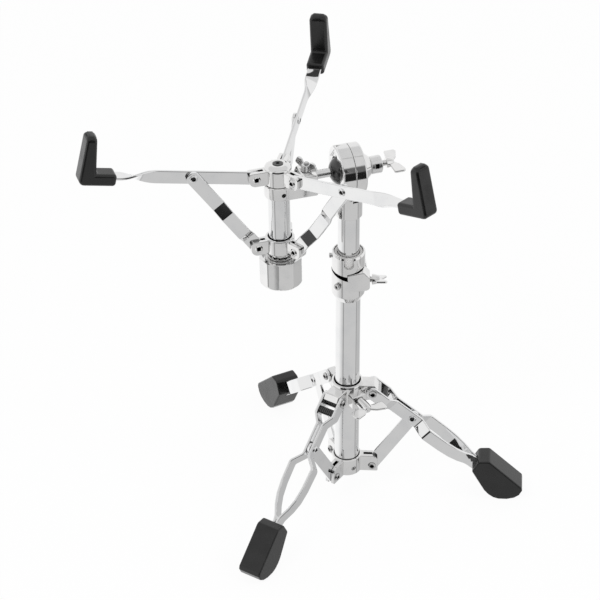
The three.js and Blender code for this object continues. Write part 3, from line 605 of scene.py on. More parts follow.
chrome = plating("chrome_strip_and_tube", grey(0.82), grey(0.78, (0, 0.004, 0.01)), 0.03, 0.09, 0.03)
satin_chrome = plating("chrome_rod_and_nuts", grey(0.8), grey(0.74), 0.2, 0.3, 0.06)
cast_chrome = plating("chrome_castings", grey(0.8, (0.008, 0.004, 0)), grey(0.75), 0.06, 0.14, 0.09)
pin_zinc = zinc("zinc_pins_and_screws", grey(0.62), grey(0.48, (0.01, 0.005, 0.0)))
# Near-black plating that paints the shade in pin hollows, recesses round tubes and the clamp's gap.
painted_shade_finish = zinc("painted_shade_in_hollows", grey(0.05), grey(0.03))
black_rubber = moulded("rubber_hooks_and_feet", grey(0.004), grey(0.011), 0.16, 0.3, 2600.0, 0.06)
black_gloss = moulded("gloss_black_plastic", grey(0.008), grey(0.014), 0.14, 0.24, 1500.0, 0.03, 0.5)
dark_nylon = moulded("nylon_cup", grey(0.02), grey(0.04), 0.4, 0.55, 2200.0, 0.1)
pale_nylon = moulded("nylon_bushing", grey(0.6, (0.02, 0.01, 0)), grey(0.7), 0.35, 0.5, 2200.0, 0.1)


# Small parts that several pieces share
def pin_bore(x, z, radius=2.8):
    return seat_in_mesh(rod(radius, -40, 40, sides=32), moved(x, 0, z) @ turned_about("X", -90))


def hollow_marked(solid, within=math.inf):
    """Puts the faces that lie nearer to the z axis than this in the second slot, whose near-black finish is
    painted shade.
    """
    for _ in range(2):
        solid.data.materials.append(None)
    for face in solid.data.polygons:
        if math.hypot(face.center.x, face.center.y) < within * MM:
            face.material_index = 1
    return solid


def open_bore(casting, radius, top):
    """Cuts the shallow recess that a casting has round its tube, painted dark as the shade where the tube enters.
    """
    cut(casting, hollow_marked(rod(radius, top - 2.5, top + 5, sides=96), radius))


def headed_pin(half_grip):
    """A pin along y, spread at each end into a head with a hollow centre that is painted dark as shade."""
    outer = half_grip + 1.6
    half = [
        (0.3, half_grip - 3.4), (1.9, half_grip - 3.2), (PIN_HOLLOW_R, outer - 0.4), (PIN_R, outer),
        (3.1, outer - 0.1), (3.7, half_grip + 0.9), (PIN_HEAD_R, half_grip + 0.4), (PIN_HEAD_R, half_grip),
    ]
    rings = [(r, -z) for r, z in half] + [(PIN_R, -half_grip), (PIN_R, half_grip)] + half[::-1]
    return seat_in_mesh(hollow_marked(turned(rings, sides=40), PIN_HOLLOW_R), turned_about("X", -90))


def rivet_head(x, y, side):
    """A spread rivet head with a hollow centre painted dark as shade, on the face of a strip that looks along y.
    """
    dome = turned(
        [
            (PIN_HEAD_R, -0.4), (PIN_HEAD_R, 0.4), (3.7, 0.9), (3.1, 1.4), (PIN_R, 1.5),
            (PIN_HOLLOW_R, 1.2), (1.7, 0.2), (0.4, 0.05),
        ],
        sides=40,
    )
    return seat_in_mesh(hollow_marked(dome, PIN_HOLLOW_R), moved(x, y, 0) @ turned_about("X", -90 * side))


def wing_screw(shank_length, start, span, hub_length=8):
    """A threaded shank along x, then a tapered hub that ends in two flat wings."""
    rings = [(2.4, 0), (2.75, 0.5)]
    height = 0.5
    while height < shank_length:
        rings += [(3.2, height + 0.45), (3.2, height + 0.6), (2.75, height + 1.05)]
        height += 1.05
    shank = turned(rings, sides=32)
    boss = turned(
        [
            (5.0, shank_length),
            (5.6, shank_length + 0.6),
            (5.2, shank_length + hub_length - 5),
            (3.9, shank_length + hub_length - 0.8),
            (3.1, shank_length + hub_length),
        ],
        sides=40,
    )
    tip = span / 2
    root = shank_length + hub_length - 8
    corners = [
        (root + 0.6, 0),
        (root + 2.4, 5, 2),
        (root + 3.4, tip, 2),
        (root + 16.5, tip, 3),
        (root + 12.6, 7, 3),
        (root + 7, 0),
    ]
    screw = weld(lying_along_x(shank), lying_along_x(boss))
    for side in (1, -1):
        wing = drawn([(x, y * side) for x, y in rounded(corners)], 2.6, flat=True)
        weld(screw, break_edges(wing, 0.9))
    return seat_in_mesh(screw, moved(start, 0, 0))


def recessed_screw(radius, bottom, top, key):
    """A round screw end along x with a six-sided recess for its key."""
    head = rod(radius, bottom, top, chamfer=0.4)
    return lying_along_x(cut(head, rod(key, top - 1.4, top + 2, sides=6)))


def common(piece, other):
    return combine(piece, "INTERSECT", [other])


# Column
def dress_column():
    sleeve = tube(LOWER_TUBE_R, LOWER_TUBE_BORE, LOWER_TUBE_BOTTOM, LOWER_TUBE_TOP, sides=96)
    fitted(sleeve, column, chrome, "lower_tube")
    mast = tube(UPPER_TUBE_R, UPPER_TUBE_BORE, UPPER_TUBE_BOTTOM, UPPER_TUBE_TOP, sides=96)
    fitted(mast, column, chrome, "upper_tube")
    plug = turned(
        [(12.1, 24.5), (12.7, 25.1), (12.7, 26.2), (11.15, 26.2), (11.15, 33), (10.6, 33.5)], sides=72
    )
    fitted(plug, column, black_gloss, "tube_end_plug")


def about_column(place):
    return column.inverted() @ place


def dress_lower_collar():
    pivot_r, pivot_z = COLLAR_PIVOT
    low = LOWER_TUBE_BOTTOM
    collar = turned(
        [
            (COLLAR_R - 0.7, low),
            (COLLAR_R, low + 0.7),
            (COLLAR_R, COLLAR_TOP - 0.8),
            (COLLAR_R - 0.8, COLLAR_TOP),
        ],
        sides=96,
    )
    high = COLLAR_TOP - 0.5
    outline = rounded([(10, low), (pivot_r + 6, low, 1.5), (pivot_r + 6, high, 6), (10, high)])
    ear = drawn(outline, 2 * EAR_OUTER)
    break_edges(ear, 0.5)
    cut(ear, block((17.5, -EAR_INNER, 20), (40, EAR_INNER, 60)), pin_bore(pivot_r, pivot_z))
    for side in ("right", "back", "left"):
        weld(collar, seat_in_mesh(copied(ear), about_column(leg_place(side))))
    bpy.data.objects.remove(ear)
    screw_place = turned_about("Z", -62) @ moved(0, 0, 35)
    screw_bore = seat_in_mesh(lying_along_x(rod(2.5, 0, 30, sides=32)), screw_place)
    cut(collar, rod(LOWER_TUBE_R + FIT, 0, 100, sides=96), screw_bore)
    open_bore(collar, LOWER_TUBE_R + 0.8, COLLAR_TOP)
    fitted(collar, column, cast_chrome, "lower_collar")
    screw = recessed_screw(2.2, LOWER_TUBE_R + FIT, COLLAR_R - 0.4, 1.2)
    fitted(screw, column @ screw_place, pin_zinc, "collar_set_screw")


def dress_crown():
    pivot_r, pivot_z = CROWN_PIVOT
    crown = turned(
        [
            (CROWN_R - 1.5, CROWN_BOTTOM),
            (CROWN_R - 0.4, CROWN_BOTTOM + 0.5),
            (CROWN_R, CROWN_BOTTOM + 1.5),
            (CROWN_R, CROWN_TOP - 2),
            (CROWN_R - 0.6, CROWN_TOP - 0.6),
            (CROWN_R - 2, CROWN_TOP),
        ],
        sides=96,
    )
    outline = rounded(
        [
            (12, CROWN_BOTTOM + 3),
            (pivot_r - 2, CROWN_BOTTOM + 6, 3),
            (pivot_r + 6, pivot_z - 6, 5),
            (pivot_r + 6, pivot_z + 3, 2),
            (pivot_r + 2, CROWN_TOP - 2.5, 2),
            (12, CROWN_TOP - 2.5),
        ]
    )
    lug = break_edges(drawn(outline, 2 * CROWN_LUG_HALF), 0.7)
    cut(lug, pin_bore(pivot_r, pivot_z, 2.7))
    for side in ("right", "back", "left"):
        weld(crown, seat_in_mesh(copied(lug), about_column(leg_place(side))))
    bpy.data.objects.remove(lug)
    face = rounded(
        [
            (-CROWN_BOSS_HALF_WIDTH, CROWN_BOLT_Z - 7.5, 2),
            (CROWN_BOSS_HALF_WIDTH, CROWN_BOLT_Z - 7.5, 2),
            (CROWN_BOSS_HALF_WIDTH, CROWN_BOLT_Z + 7.5, 2),
            (-CROWN_BOSS_HALF_WIDTH, CROWN_BOLT_Z + 7.5, 2),
        ]
    )
    boss = break_edges(drawn(face, CROWN_BOSS_R - 12), 0.8)
    boss_turn = about_column(crown_screw) @ moved(0, 0, -CROWN_BOLT_Z)
    seat_in_mesh(boss, boss_turn @ moved((CROWN_BOSS_R + 12) / 2, 0, 0) @ turned_about("Z", 90))
    weld(crown, boss)
    thread = seat_in_mesh(lying_along_x(rod(3.5, 0, 40)), about_column(crown_screw))
    cut(crown, rod(LOWER_TUBE_R + FIT, 100, 160, sides=96), thread)
    open_bore(crown, LOWER_TUBE_R + 1.3, CROWN_TOP)
    fitted(crown, column, cast_chrome, "leg_crown")
    start = LOWER_TUBE_R + FIT
    screw = wing_screw(CROWN_BOSS_R + 0.5 - start, start, 38, hub_length=16)
    fitted(screw, crown_screw @ turned_about("X", -1), cast_chrome, "crown_wing_screw")


# Legs, each made once and copied to the three sides
def on_each_leg(piece, place, finish, name):
    for side in ("right", "back", "left"):
        fitted(copied(piece), place(side), finish, name.format(side))
    bpy.data.objects.remove(piece)


def make_leg_strap(hand):
    wide = CROWN_LUG_HALF + FIT + STRAP_THICK / 2
    close = EAR_INNER + STRAP_THICK / 2
    together = 0.3 + STRAP_THICK / 2
    path = [
        (-7, wide), (18, wide), (28, close), (63, close), (74, 13.2), (96, 12.6),
        (110, 10.9), (121, 7.6), (132, 2.6), (137, together), (162, together),
    ]
    bowed = strip([(s, t * hand) for s, t in bent(path, 5)], STRAP_THICK)
    strap = rolled(drawn(bowed, STRAP_HEIGHT, flat=True))
    half = STRAP_HEIGHT / 2
    profile = drawn(rounded([(-7, -half, 6.9), (162, -half), (162, half), (-7, half, 6.9)], 10), 60)
    common(strap, profile)
    cut(strap, pin_bore(0, 0))
    break_edges(strap, 0.45)
    rivet_at = math.dist(LEG_RIVET, CROWN_PIVOT)
    return weld(strap, rivet_head(rivet_at, hand * (close + STRAP_THICK / 2), hand))


def make_foot():
    outline = rounded(
        [
            (130.5, 35.5, 3), (137.5, 48, 4), (148.5, 48.6, 4), (183, 15.4, 2.5), (183.6, 11.5, 1.5),
            (180.5, 5.6, 3), (175.5, 2, 3), (169, 0.3, 3), (168, 0), (159, 0), (153.5, 1.8, 3),
            (148.5, 5.4, 3), (144, 10.6, 2),
        ],
        4,
    )
    body = break_edges(drawn(outline, 2 * FOOT_HALF_WIDTH), 1.6, segments=4, angle=50, full=True)
    half = 0.3 + STRAP_THICK + FIT
    pocket = block((100, -half, -7 - FIT), (163, half, 7 + FIT))
    into_leg = leg_place("right").inverted() @ strap_place("right")
    return cut(body, seat_in_mesh(pocket, into_leg))


def make_brace():
    pivot_r, pivot_z = COLLAR_PIVOT
    length = math.dist(COLLAR_PIVOT, LEG_RIVET)
    brace = drawn(round_ended(length), STRAP_THICK)
    cut(brace, pin_bore(0, 0), pin_bore(length, 0))
    break_edges(brace, 0.45)
    rise = math.degrees(math.atan2(LEG_RIVET[1] - pivot_z, LEG_RIVET[0] - pivot_r))
    return seat_in_mesh(brace, moved(pivot_r, 0, pivot_z) @ turned_about("Y", -rise))


def dress_legs():
    on_each_leg(make_leg_strap(1), strap_place, chrome, "leg_{}_strap_a")
    on_each_leg(make_leg_strap(-1), strap_place, chrome, "leg_{}_strap_b")
    half = CROWN_LUG_HALF
    rings = [(3.3, -half), (3.8, -half + 0.4)]
    groove = -half + 1.6
    while groove < half - 1.6:
        rings += [(3.8, groove - 0.35), (3.3, groove), (3.8, groove + 0.35)]
        groove += 2.17
    spool = turned(rings + [(3.8, half - 0.4), (3.3, half)])
    seat_in_mesh(spool, moved(13.4, 0, 2.6) @ turned_about("X", -90))
    on_each_leg(spool, strap_place, black_gloss, "leg_{}_spacer")
    on_each_leg(make_foot(), leg_place, black_rubber, "foot_{}")
    on_each_leg(make_brace(), leg_place, chrome, "brace_{}")
    crown_pin = headed_pin(CROWN_LUG_HALF + FIT + STRAP_THICK + 0.2)
    seat_in_mesh(crown_pin, moved(CROWN_PIVOT[0], 0, CROWN_PIVOT[1]))
    on_each_leg(crown_pin, leg_place, pin_zinc, "crown_pin_{}")
    collar_pin = seat_in_mesh(headed_pin(EAR_OUTER + 0.2), moved(COLLAR_PIVOT[0], 0, COLLAR_PIVOT[1]))
    on_each_leg(collar_pin, leg_place, pin_zinc, "collar_pin_{}")


# Height clamp
def slanting_slab(low, high, tilt, height):
    """A slab over or under one face of the clamp's slanting gap."""
    slab = block((-60, -60, low), (60, 60, high))
    turn = turned_about("Z", CLAMP_GAP_AZIMUTH) @ turned_about("Y", tilt)
    return seat_in_mesh(slab, moved(0, 0, height) @ turn)


def clamp_outside():
    return turned(
        [
            (LOWER_TUBE_R + 0.9, CLAMP_BOTTOM),
            (CLAMP_R - 0.2, CLAMP_BOTTOM + 6.4),
            (CLAMP_R, CLAMP_BOTTOM + 7.6),
            (CLAMP_R, CLAMP_TOP - 3),
            (CLAMP_R - 0.3, CLAMP_TOP - 1),
            (CLAMP_R - 1.2, CLAMP_TOP),
        ],
        sides=96,
    )


def dress_clamp():
    bolt_z = CLAMP_BOLT[2]
    corners = [
        (-1, bolt_z - 10.4), (13, bolt_z - 10.4, 3), (21.5, bolt_z - 8.4, 4), (21.5, bolt_z + 6, 3),
        (15.5, bolt_z + 13, 3), (-1, bolt_z + 9),
    ]
    lug = seat_in_mesh(break_edges(drawn(rounded(corners), 14.8), 0.9), moved(0, CLAMP_BOLT[1], 0))
    # The socket's face under the slanting gap is painted dark as the shade in the gap.
    socket = cut(clamp_outside(), hollow_marked(slanting_slab(0, 90, SOCKET_TILT, SOCKET_TOP)))
    weld(socket, lug)
    tube_bore = rod(LOWER_TUBE_R + FIT, 200, LOWER_TUBE_TOP + 0.3, sides=96)
    bushing_bore = rod(BUSHING_R + FIT, LOWER_TUBE_TOP + 0.2, CLAMP_TOP + 5, sides=96)
    bolt_bore = seat_in_mesh(lying_along_x(rod(3.5, 8, 30)), moved(0, CLAMP_BOLT[1], bolt_z))
    cut(socket, tube_bore, bushing_bore, bolt_bore)
    fitted(break_edges(socket, 0.35, angle=48), column, cast_chrome, "clamp_socket")

    floor = CLAMP_TOP - 12.5
    above = CLAMP_TOP + 5
    notch = drawn(rounded([(-5, floor, 4.6), (5, floor, 4.6), (5, above), (-5, above)]), 12)
    seat_in_mesh(notch, turned_about("Z", 1) @ moved(0, -CLAMP_R, 0))
    ring_bore = rod(BUSHING_R + FIT, 200, CLAMP_TOP + 5, sides=96)
    widened = [(x - FIT, z + 1.2, *radius) for x, z, *radius in corners]
    room = drawn(rounded(widened), 15.8)
    seat_in_mesh(room, moved(0, CLAMP_BOLT[1], 0))
    ear = drawn([(8, CLAMP_TOP - 5), (14.8, CLAMP_TOP - 5), (20.2, RING_BOTTOM - 9), (8, RING_BOTTOM - 9)], 8)
    ring = weld(clamp_outside(), seat_in_mesh(ear, moved(0, 3.2, 0)))
    # The ring's face over the slanting gap is painted dark as the shade in the gap.
    cut(ring, hollow_marked(slanting_slab(-90, 0, RING_TILT, RING_BOTTOM)), room, ring_bore, notch)
    fitted(break_edges(ring, 0.35, angle=48), column, cast_chrome, "clamp_ring")

    bushing = tube(BUSHING_R, UPPER_TUBE_R + FIT, 275.6, CLAMP_TOP - 1, sides=96, lip=0.5)
    # The bushing's wall below the ring is pared and painted dark as the shade in the gap round it.
    skirt = tube(BUSHING_R + 3, BUSHING_R - 0.4, 270, RING_BOTTOM + 5)
    cut(bushing, hollow_marked(skirt))
    fitted(bushing, column, pale_nylon, "tube_bushing")

    end_screw = recessed_screw(3.6, CLAMP_R + 0.2, CLAMP_R + 2.6, 1.7)
    fitted(end_screw, column @ turned_about("Z", -128) @ moved(0, 0, bolt_z - 6), pin_zinc, "clamp_end_screw")
    stop_screw = recessed_screw(2.6, CLAMP_R + 0.2, CLAMP_R + 2.4, 1.2)
    fitted(stop_screw, column @ turned_about("Z", 182) @ moved(0, 0, 298), pin_zinc, "bushing_screw")
    screw = wing_screw(8.5, CLAMP_BOLT[0], 34)
    fitted(screw, clamp_screw @ turned_about("X", -25), cast_chrome, "clamp_wing_screw")


# Ball tilter
def dress_tilter():
    outline = []
    for step in range(73):
        angle = math.radians(-57 + 294 * step / 72)
        outline.append((TILTER_R * math.cos(angle), TILTER_R * math.sin(angle)))
    outline += [(-12.5, NECK_TOP), (12.5, NECK_TOP)]
    housing = break_edges(drawn(outline, TILTER_FRONT + TILTER_REAR), 2.0, segments=4, angle=50)
    seat_in_mesh(housing, moved((TILTER_FRONT - TILTER_REAR) / 2, 0, 0) @ turned_about("Z", 90))
    rear = copied(housing)

    front = common(housing, block((TILTER_SEAM, -50, -80), (40, 50, 50)))
    break_edges(front, 0.7, angle=60, full=True)
    cut(front, ball(BALL_R + 0.5, BALL_OFFSET), lying_along_x(rod(BALL_OPENING_R, BALL_OFFSET, 30, sides=96)))
    for height in (15.4, -15.4):
        cut(front, seat_in_mesh(lying_along_x(rod(2.6, BALL_OFFSET, 30, sides=32)), moved(0, 0, height)))
    neck = turned(
        [
            (NECK_R - 1.2, NECK_BOTTOM), (NECK_R, NECK_BOTTOM + 1.2), (NECK_R, NECK_TOP + 2.8),
            (NECK_R - 1.2, NECK_TOP + 4),
        ],
        sides=96,
    )
    weld(front, neck)
    tube_bore = rod(UPPER_TUBE_R + FIT, NECK_BOTTOM - 5, -33.7, sides=96)
    cut(front, tube_bore, block((-30, -50, NECK_TOP - 0.1), (TILTER_SEAM, 50, 50)))
    fitted(break_edges(front, 0.4, angle=48), tilter, cast_chrome, "tilter_body")

    rear = common(rear, block((-40, -50, -80), (-TILTER_SEAM, 50, 50)))
    break_edges(rear, 0.7, angle=60, full=True)
    boss = turned(
        [(SLEEVE_R + 0.6, -20.2), (SLEEVE_R + 1.2, -19.8), (17.4, -11.6), (18, -10.9), (18, -6)], sides=96
    )
    weld(rear, lying_along_x(boss))
    screw_bore = lying_along_x(rod(3.6, -40, 0))
    chamber = lying_along_x(rod(11.6, -14.9, BALL_OFFSET))
    below_seam = block((-40, -50, -80), (10, 50, NECK_TOP + 0.3))
    cut(rear, ball(BALL_R + 0.5, BALL_OFFSET), chamber, screw_bore, below_seam)
    fitted(break_edges(rear, 0.4, angle=48), tilter, cast_chrome, "tilter_cover")

    sleeve = lying_along_x(
        turned([(8.2, -32.4), (9.0, -31.6), (9.0, -21.5), (8.2, -20.7)], sides=64)
    )
    corners = [(-28.8, -2.1, 0.8), (-24.6, -2.1, 0.8), (-24.6, 2.1, 0.8), (-28.8, 2.1, 0.8)]
    # The window's walls are painted dark as the shade inside the sleeve.
    window = hollow_marked(drawn(rounded(corners), 16))
    seat_in_mesh(window, turned_about("X", 20) @ moved(0, 12, 0))
    cut(sleeve, lying_along_x(rod(3.6, -40, 0)), window)
    fitted(break_edges(sleeve, 0.3, angle=48), tilter, satin_chrome, "tilter_sleeve")

    screw = wing_screw(32.4 + 5 - 14.6, 0, 38)
    fitted(screw, tilter @ moved(-14.9, 0, 0) @ turned_about("Z", 180), cast_chrome, "tilter_wing_screw")


# Basket
def dress_offset():
    knuckle = cut(ball(BALL_R, 0), lying_along_x(rod(ROD_R + 0.2, 2, 30)))
    fitted(knuckle, basket, black_gloss, "tilter_ball")
    fitted(lying_along_x(rod(ROD_R, 2.3, 46, chamfer=0.6)), basket, satin_chrome, "offset_rod")

    casting = turned(
        [
            (CASTING_R - 3, CASTING_BOTTOM), (CASTING_R - 0.9, CASTING_BOTTOM + 0.9),
            (CASTING_R, CASTING_BOTTOM + 3), (CASTING_R, CASTING_TOP - 0.5), (CASTING_R - 0.5, CASTING_TOP),
        ],
        sides=96,
    )
    seat_in_mesh(casting, moved(HUB_X, 0, 0))
    corners = [
        (HUB_X, CASTING_BOTTOM), (CASTING_END, CASTING_BOTTOM, 2), (CASTING_END, 7, 2), (46, 7, 4),
        (50, CASTING_TOP - 0.1), (HUB_X, CASTING_TOP - 0.1),
    ]
    weld(casting, break_edges(drawn(rounded(corners), 2 * CASTING_HALF_WIDTH), 1.2, segments=4))
    screw_place = moved(HUB_X, 0, -9) @ turned_about("Z", -265)
    cut(
        casting,
        lying_along_x(rod(ROD_R + FIT, 10, 53)),
        seat_in_mesh(rod(CENTRE_TUBE_R + FIT, CASTING_BOTTOM - 5, -7.6, sides=96), moved(HUB_X, 0, 0)),
        seat_in_mesh(rod(3.4, -12, 5), moved(HUB_X, 0, 0)),
        block((20, -0.8, 0), (45, 0.8, 20)),
        block((40.4, -30, -30), (41.8, 1 - CASTING_HALF_WIDTH, -5)),
        seat_in_mesh(rod(2.6, 4, 20), moved(CLAMP_NUT_X, 0, 0)),
        seat_in_mesh(lying_along_x(rod(2.3, 0, 30)), screw_place),
    )
    fitted(casting, basket, cast_chrome, "offset_casting")
    set_screw = recessed_screw(2, CENTRE_TUBE_R + FIT, CASTING_R - 1.4, 1.1)
    fitted(set_screw, basket @ screw_place, black_gloss, "casting_set_screw")

    bolt = turned([(2.1, 4.7), (2.4, 5), (2.4, 15.3), (2.1, 15.8), (1.4, 16)], sides=40)
    fitted(bolt, basket @ moved(CLAMP_NUT_X, 0, 0), pin_zinc, "rod_clamp_bolt")

    nut = turned([(5.6, 7.3), (6.0, 7.8), (5.2, 11), (4.6, 13.6), (4.1, 14)], sides=48)
    wing_outline = rounded(
        [(4, 8), (9, 8.6, 2), (15.5, 11.6, 2), (11.5, 18.6, 2), (6.5, 18.2, 2), (4, 13.5)], 6
    )
    for turn in (0, 180):
        wing = break_edges(drawn(wing_outline, 2.4), 0.8)
        weld(nut, seat_in_mesh(wing, turned_about("Z", turn)))
    cut(nut, rod(2.7, 0, 30))
    place = basket @ moved(CLAMP_NUT_X, 0, 0) @ turned_about("Z", 117)
    fitted(nut, place, satin_chrome, "rod_clamp_wing_nut")


def ear_pair(pivot_z):
    """Two round-ended ears with the staked pin through them."""
    outer = HUB_PIVOT_R + EAR_R
    outline = rounded(
        [
            (8, pivot_z - EAR_R),
            (outer, pivot_z - EAR_R, EAR_R - 0.5),
            (outer, pivot_z + EAR_R, 3),
            (8, pivot_z + EAR_R),
        ],
        8,
    )
    ears = break_edges(drawn(outline, 2 * EAR_OUTER), 0.5)
    cut(ears, block((15.4, -EAR_INNER, pivot_z - 20), (40, EAR_INNER, pivot_z + 20)))
    cut(ears, pin_bore(HUB_PIVOT_R, pivot_z, 2.3))
    pin = seat_in_mesh(headed_pin(EAR_OUTER - 0.3), moved(HUB_PIVOT_R, 0, pivot_z))
    return weld(ears, pin)


def add_ears(piece, pivot_z):
    ears = ear_pair(pivot_z)
    for side in ("left", "right", "far"):
        weld(piece, seat_in_mesh(copied(ears), arm_turn(side)))
    bpy.data.objects.remove(ears)


def arm_turn(side):
    """How far round the hub an arm is, in the hub's own frame."""
    outwards = hub.inverted().to_3x3() @ -axis(f"arm_{side}_hinge").cross(axis("basket_fold"))
    return turned_about("Z", math.degrees(math.atan2(outwards.y, outwards.x)))


def dress_hub():
    top = HUB_TOP
    body = turned(
        [
            (HUB_R - 0.4, CASTING_TOP + FIT), (HUB_R, CASTING_TOP + FIT + 0.4), (HUB_R, top - 0.5),
            (13.4, top - 0.5), (13.5, top + 1.0), (13.0, top + 2.2), (11.4, top + 3.5), (9.4, top + 4.5),
            (8, top + 4.9), (6.6, top + 5),
        ],
        sides=96,
    )
    add_ears(body, HUB_PIVOT_Z)
    weld(body, rod(3.1, -6.8, 3))
    cut(body, rod(5.6, top + 2.8, top + 10, sides=64))
    fitted(body, hub, cast_chrome, "basket_hub")
    cap = turned([(5.2, top + 3), (5.2, top + 5.1), (4.9, top + 5.5), (4.5, top + 5.6)], sides=64)
    fitted(cut(cap, rod(2.1, top + 4, top + 8, sides=6)), hub, black_gloss, "hub_cap_screw")
    centre = tube(CENTRE_TUBE_R, CENTRE_TUBE_R - 1.6, CENTRE_TUBE_BOTTOM, -7.9, sides=96)
    fitted(centre, hub, chrome, "centre_tube")


def dress_slider():
    shoulder = SLIDER_PIVOT_Z - EAR_R
    slider = turned(
        [
            (12.2, SLIDER_BOTTOM), (12.6, SLIDER_BOTTOM + 0.5), (12.8, shoulder), (14.0, shoulder),
            (14.6, shoulder + 0.6), (14.6, SLIDER_TOP - 1), (14.2, SLIDER_TOP - 0.3), (13.6, SLIDER_TOP),
        ],
        sides=96,
    )
    add_ears(slider, SLIDER_PIVOT_Z)
    cut(slider, rod(CENTRE_TUBE_R + FIT, SLIDER_BOTTOM - 5, SLIDER_TOP + 5, sides=96))
    open_bore(slider, CENTRE_TUBE_R + 1.3, SLIDER_TOP)
    fitted(slider, hub, cast_chrome, "slider")
    washer = tube(15.5, CENTRE_TUBE_R + FIT, SLIDER_BOTTOM - 2.1, SLIDER_BOTTOM - FIT, sides=96)
    fitted(washer, hub, pin_zinc, "thrust_washer")


def dress_nut():
    outline = []
    per_flute = 12
    for step in range(NUT_FLUTES * per_flute):
        angle = 2 * math.pi * step / (NUT_FLUTES * per_flute)
        from_middle = abs(step % per_flute - per_flute / 2) / per_flute
        flat = (NUT_R - 1.05) / math.cos(2 * math.pi * from_middle / NUT_FLUTES)
        radius = min(flat - 0.2 * (1 - 4 * from_middle ** 2), NUT_R - 0.12)
        outline.append((radius * math.cos(angle), radius * math.sin(angle)))
    middle = (NUT_RIM + NUT_BOTTOM) / 2
    nut = seat_in_mesh(drawn(outline, NUT_RIM - NUT_BOTTOM, flat=True), moved(0, 0, middle))
    envelope = turned(
        [
            (NUT_R - 3.6, NUT_BOTTOM), (NUT_R - 1.9, NUT_BOTTOM + 1.1), (NUT_R - 0.6, NUT_BOTTOM + 2.9),
            (NUT_R, NUT_BOTTOM + 5), (NUT_R + 0.5, NUT_RIM - 2), (NUT_R - 0.3, NUT_RIM - 0.5),
            (NUT_R - 1.2, NUT_RIM),
        ],
        sides=120,
    )
    common(nut, envelope)
    recess = rod(18.8, NUT_FLOOR, NUT_RIM + 5, sides=NUT_FLUTES)
    cut(nut, recess, rod(CENTRE_TUBE_R + FIT, NUT_BOTTOM + 3, NUT_RIM + 5, sides=96))
    fitted(nut, hub, cast_chrome, "basket_nut", smooth=20)


# Arms, hooks and struts, each made once and copied to the three sides
def on_each_arm(piece, place, finish, name):
    for side in ("left", "right", "far"):
        fitted(copied(piece), place(side), finish, name.format(side))
    bpy.data.objects.remove(piece)


def make_arm():
    """A strip on edge whose far end is turned flat, drawn section by section along its length."""
    half = STRAP_HEIGHT / 2
    begin()
    bpy.ops.mesh.primitive_plane_add(size=MM)
    arm = bpy.context.object
    section = Matrix.Diagonal((STRAP_HEIGHT, STRAP_THICK, 1, 1))
    seat_in_mesh(arm, moved(-half, 0, 0) @ turned_about("Y", 90) @ section)
    bpy.ops.object.mode_set(mode="EDIT")
    bpy.ops.mesh.select_all(action="SELECT")
    twist_steps = 16
    stations = [ARM_TWIST_START]
    for step in range(1, twist_steps + 1):
        stations.append(ARM_TWIST_START + (ARM_TWIST_END - ARM_TWIST_START) * step / twist_steps)
    stations.append(ARM_END)
    reached = -half
    turned_by = 0.0
    for station in stations:
        bpy.ops.mesh.extrude_region_move(TRANSFORM_OT_translate={"value": ((station - reached) * MM, 0, 0)})
        share = (station - ARM_TWIST_START) / (ARM_TWIST_END - ARM_TWIST_START)
        share = min(share, 1.0)
        wanted = math.pi / 2 * share * share * (3 - 2 * share)
        bpy.ops.transform.rotate(
            value=wanted - turned_by, orient_axis="X", center_override=(station * MM, 0, 0)
        )
        reached = station
        turned_by = wanted
    bpy.ops.mesh.select_all(action="SELECT")
    bpy.ops.mesh.normals_make_consistent(inside=False)
    bpy.ops.object.mode_set(mode="OBJECT")
    profile = drawn(rounded([(-7, -half, 6.9), (180, -half), (180, half), (-7, half, 6.9)], 10), 20)
    common(rolled(arm), profile)
    cut(arm, pin_bore(0, 0))
    break_edges(arm, 0.45)
    return weld(arm, rivet_head(ARM_RIVET, -STRAP_THICK / 2, -1))


def make_hook():
    start = HOOK_START
    profile = rounded(
        [
            (start, -7.4, 3.4), (start + 37.4, -7.4, 5.5), (start + 36, HOOK_HEIGHT, 4.6),
            (start + 26, HOOK_HEIGHT, 4.6), (start + 21, 5.2), (start, 5.2, 3.4),
        ],
        6,
    )
    hook = drawn(profile, HOOK_WIDTH)
    half = HOOK_WIDTH / 2
    face = drawn(
        rounded([(-half, -20), (half, -20), (half, HOOK_HEIGHT, 6), (-half, HOOK_HEIGHT, 6)], 8), 120
    )
    common(hook, seat_in_mesh(face, moved(start + 20, 0, 0) @ turned_about("Z", 90)))
    break_edges(hook, 3.0, segments=5, angle=40, full=True)
    pocket = block((start - 5, -7 - FIT, -1.4 - FIT), (ARM_END + FIT, 7 + FIT, 1.4 + FIT))
    return cut(hook, pocket)


def make_strut():
    path = [
        (-7, 0), (16, 0), (27, STRUT_BUMP), (56, STRUT_BUMP), (68, STRUT_BESIDE),
        (STRUT_LENGTH + 7, STRUT_BESIDE),
    ]
    strut = rolled(drawn(strip(bent(path, 3.5), STRAP_THICK), STRAP_HEIGHT, flat=True))
    common(strut, drawn(round_ended(STRUT_LENGTH), 40))
    cut(strut, pin_bore(0, 0))
    break_edges(strut, 0.45)
    return weld(strut, rivet_head(STRUT_LENGTH, STRUT_BESIDE + STRAP_THICK / 2, 1))


def dress_arms():
    on_each_arm(make_arm(), arm_place, chrome, "arm_{}")
    on_each_arm(make_hook(), arm_place, black_rubber, "hook_{}")
    on_each_arm(make_strut(), strut_place, chrome, "strut_{}")


def finish_cup():
    """The hidden cup behind the ball keeps its solid and takes its finish."""
    cup = frame["nodes"]["tilter_cup"]
    cup.data.materials.clear()
    cup.data.materials.append(dark_nylon)


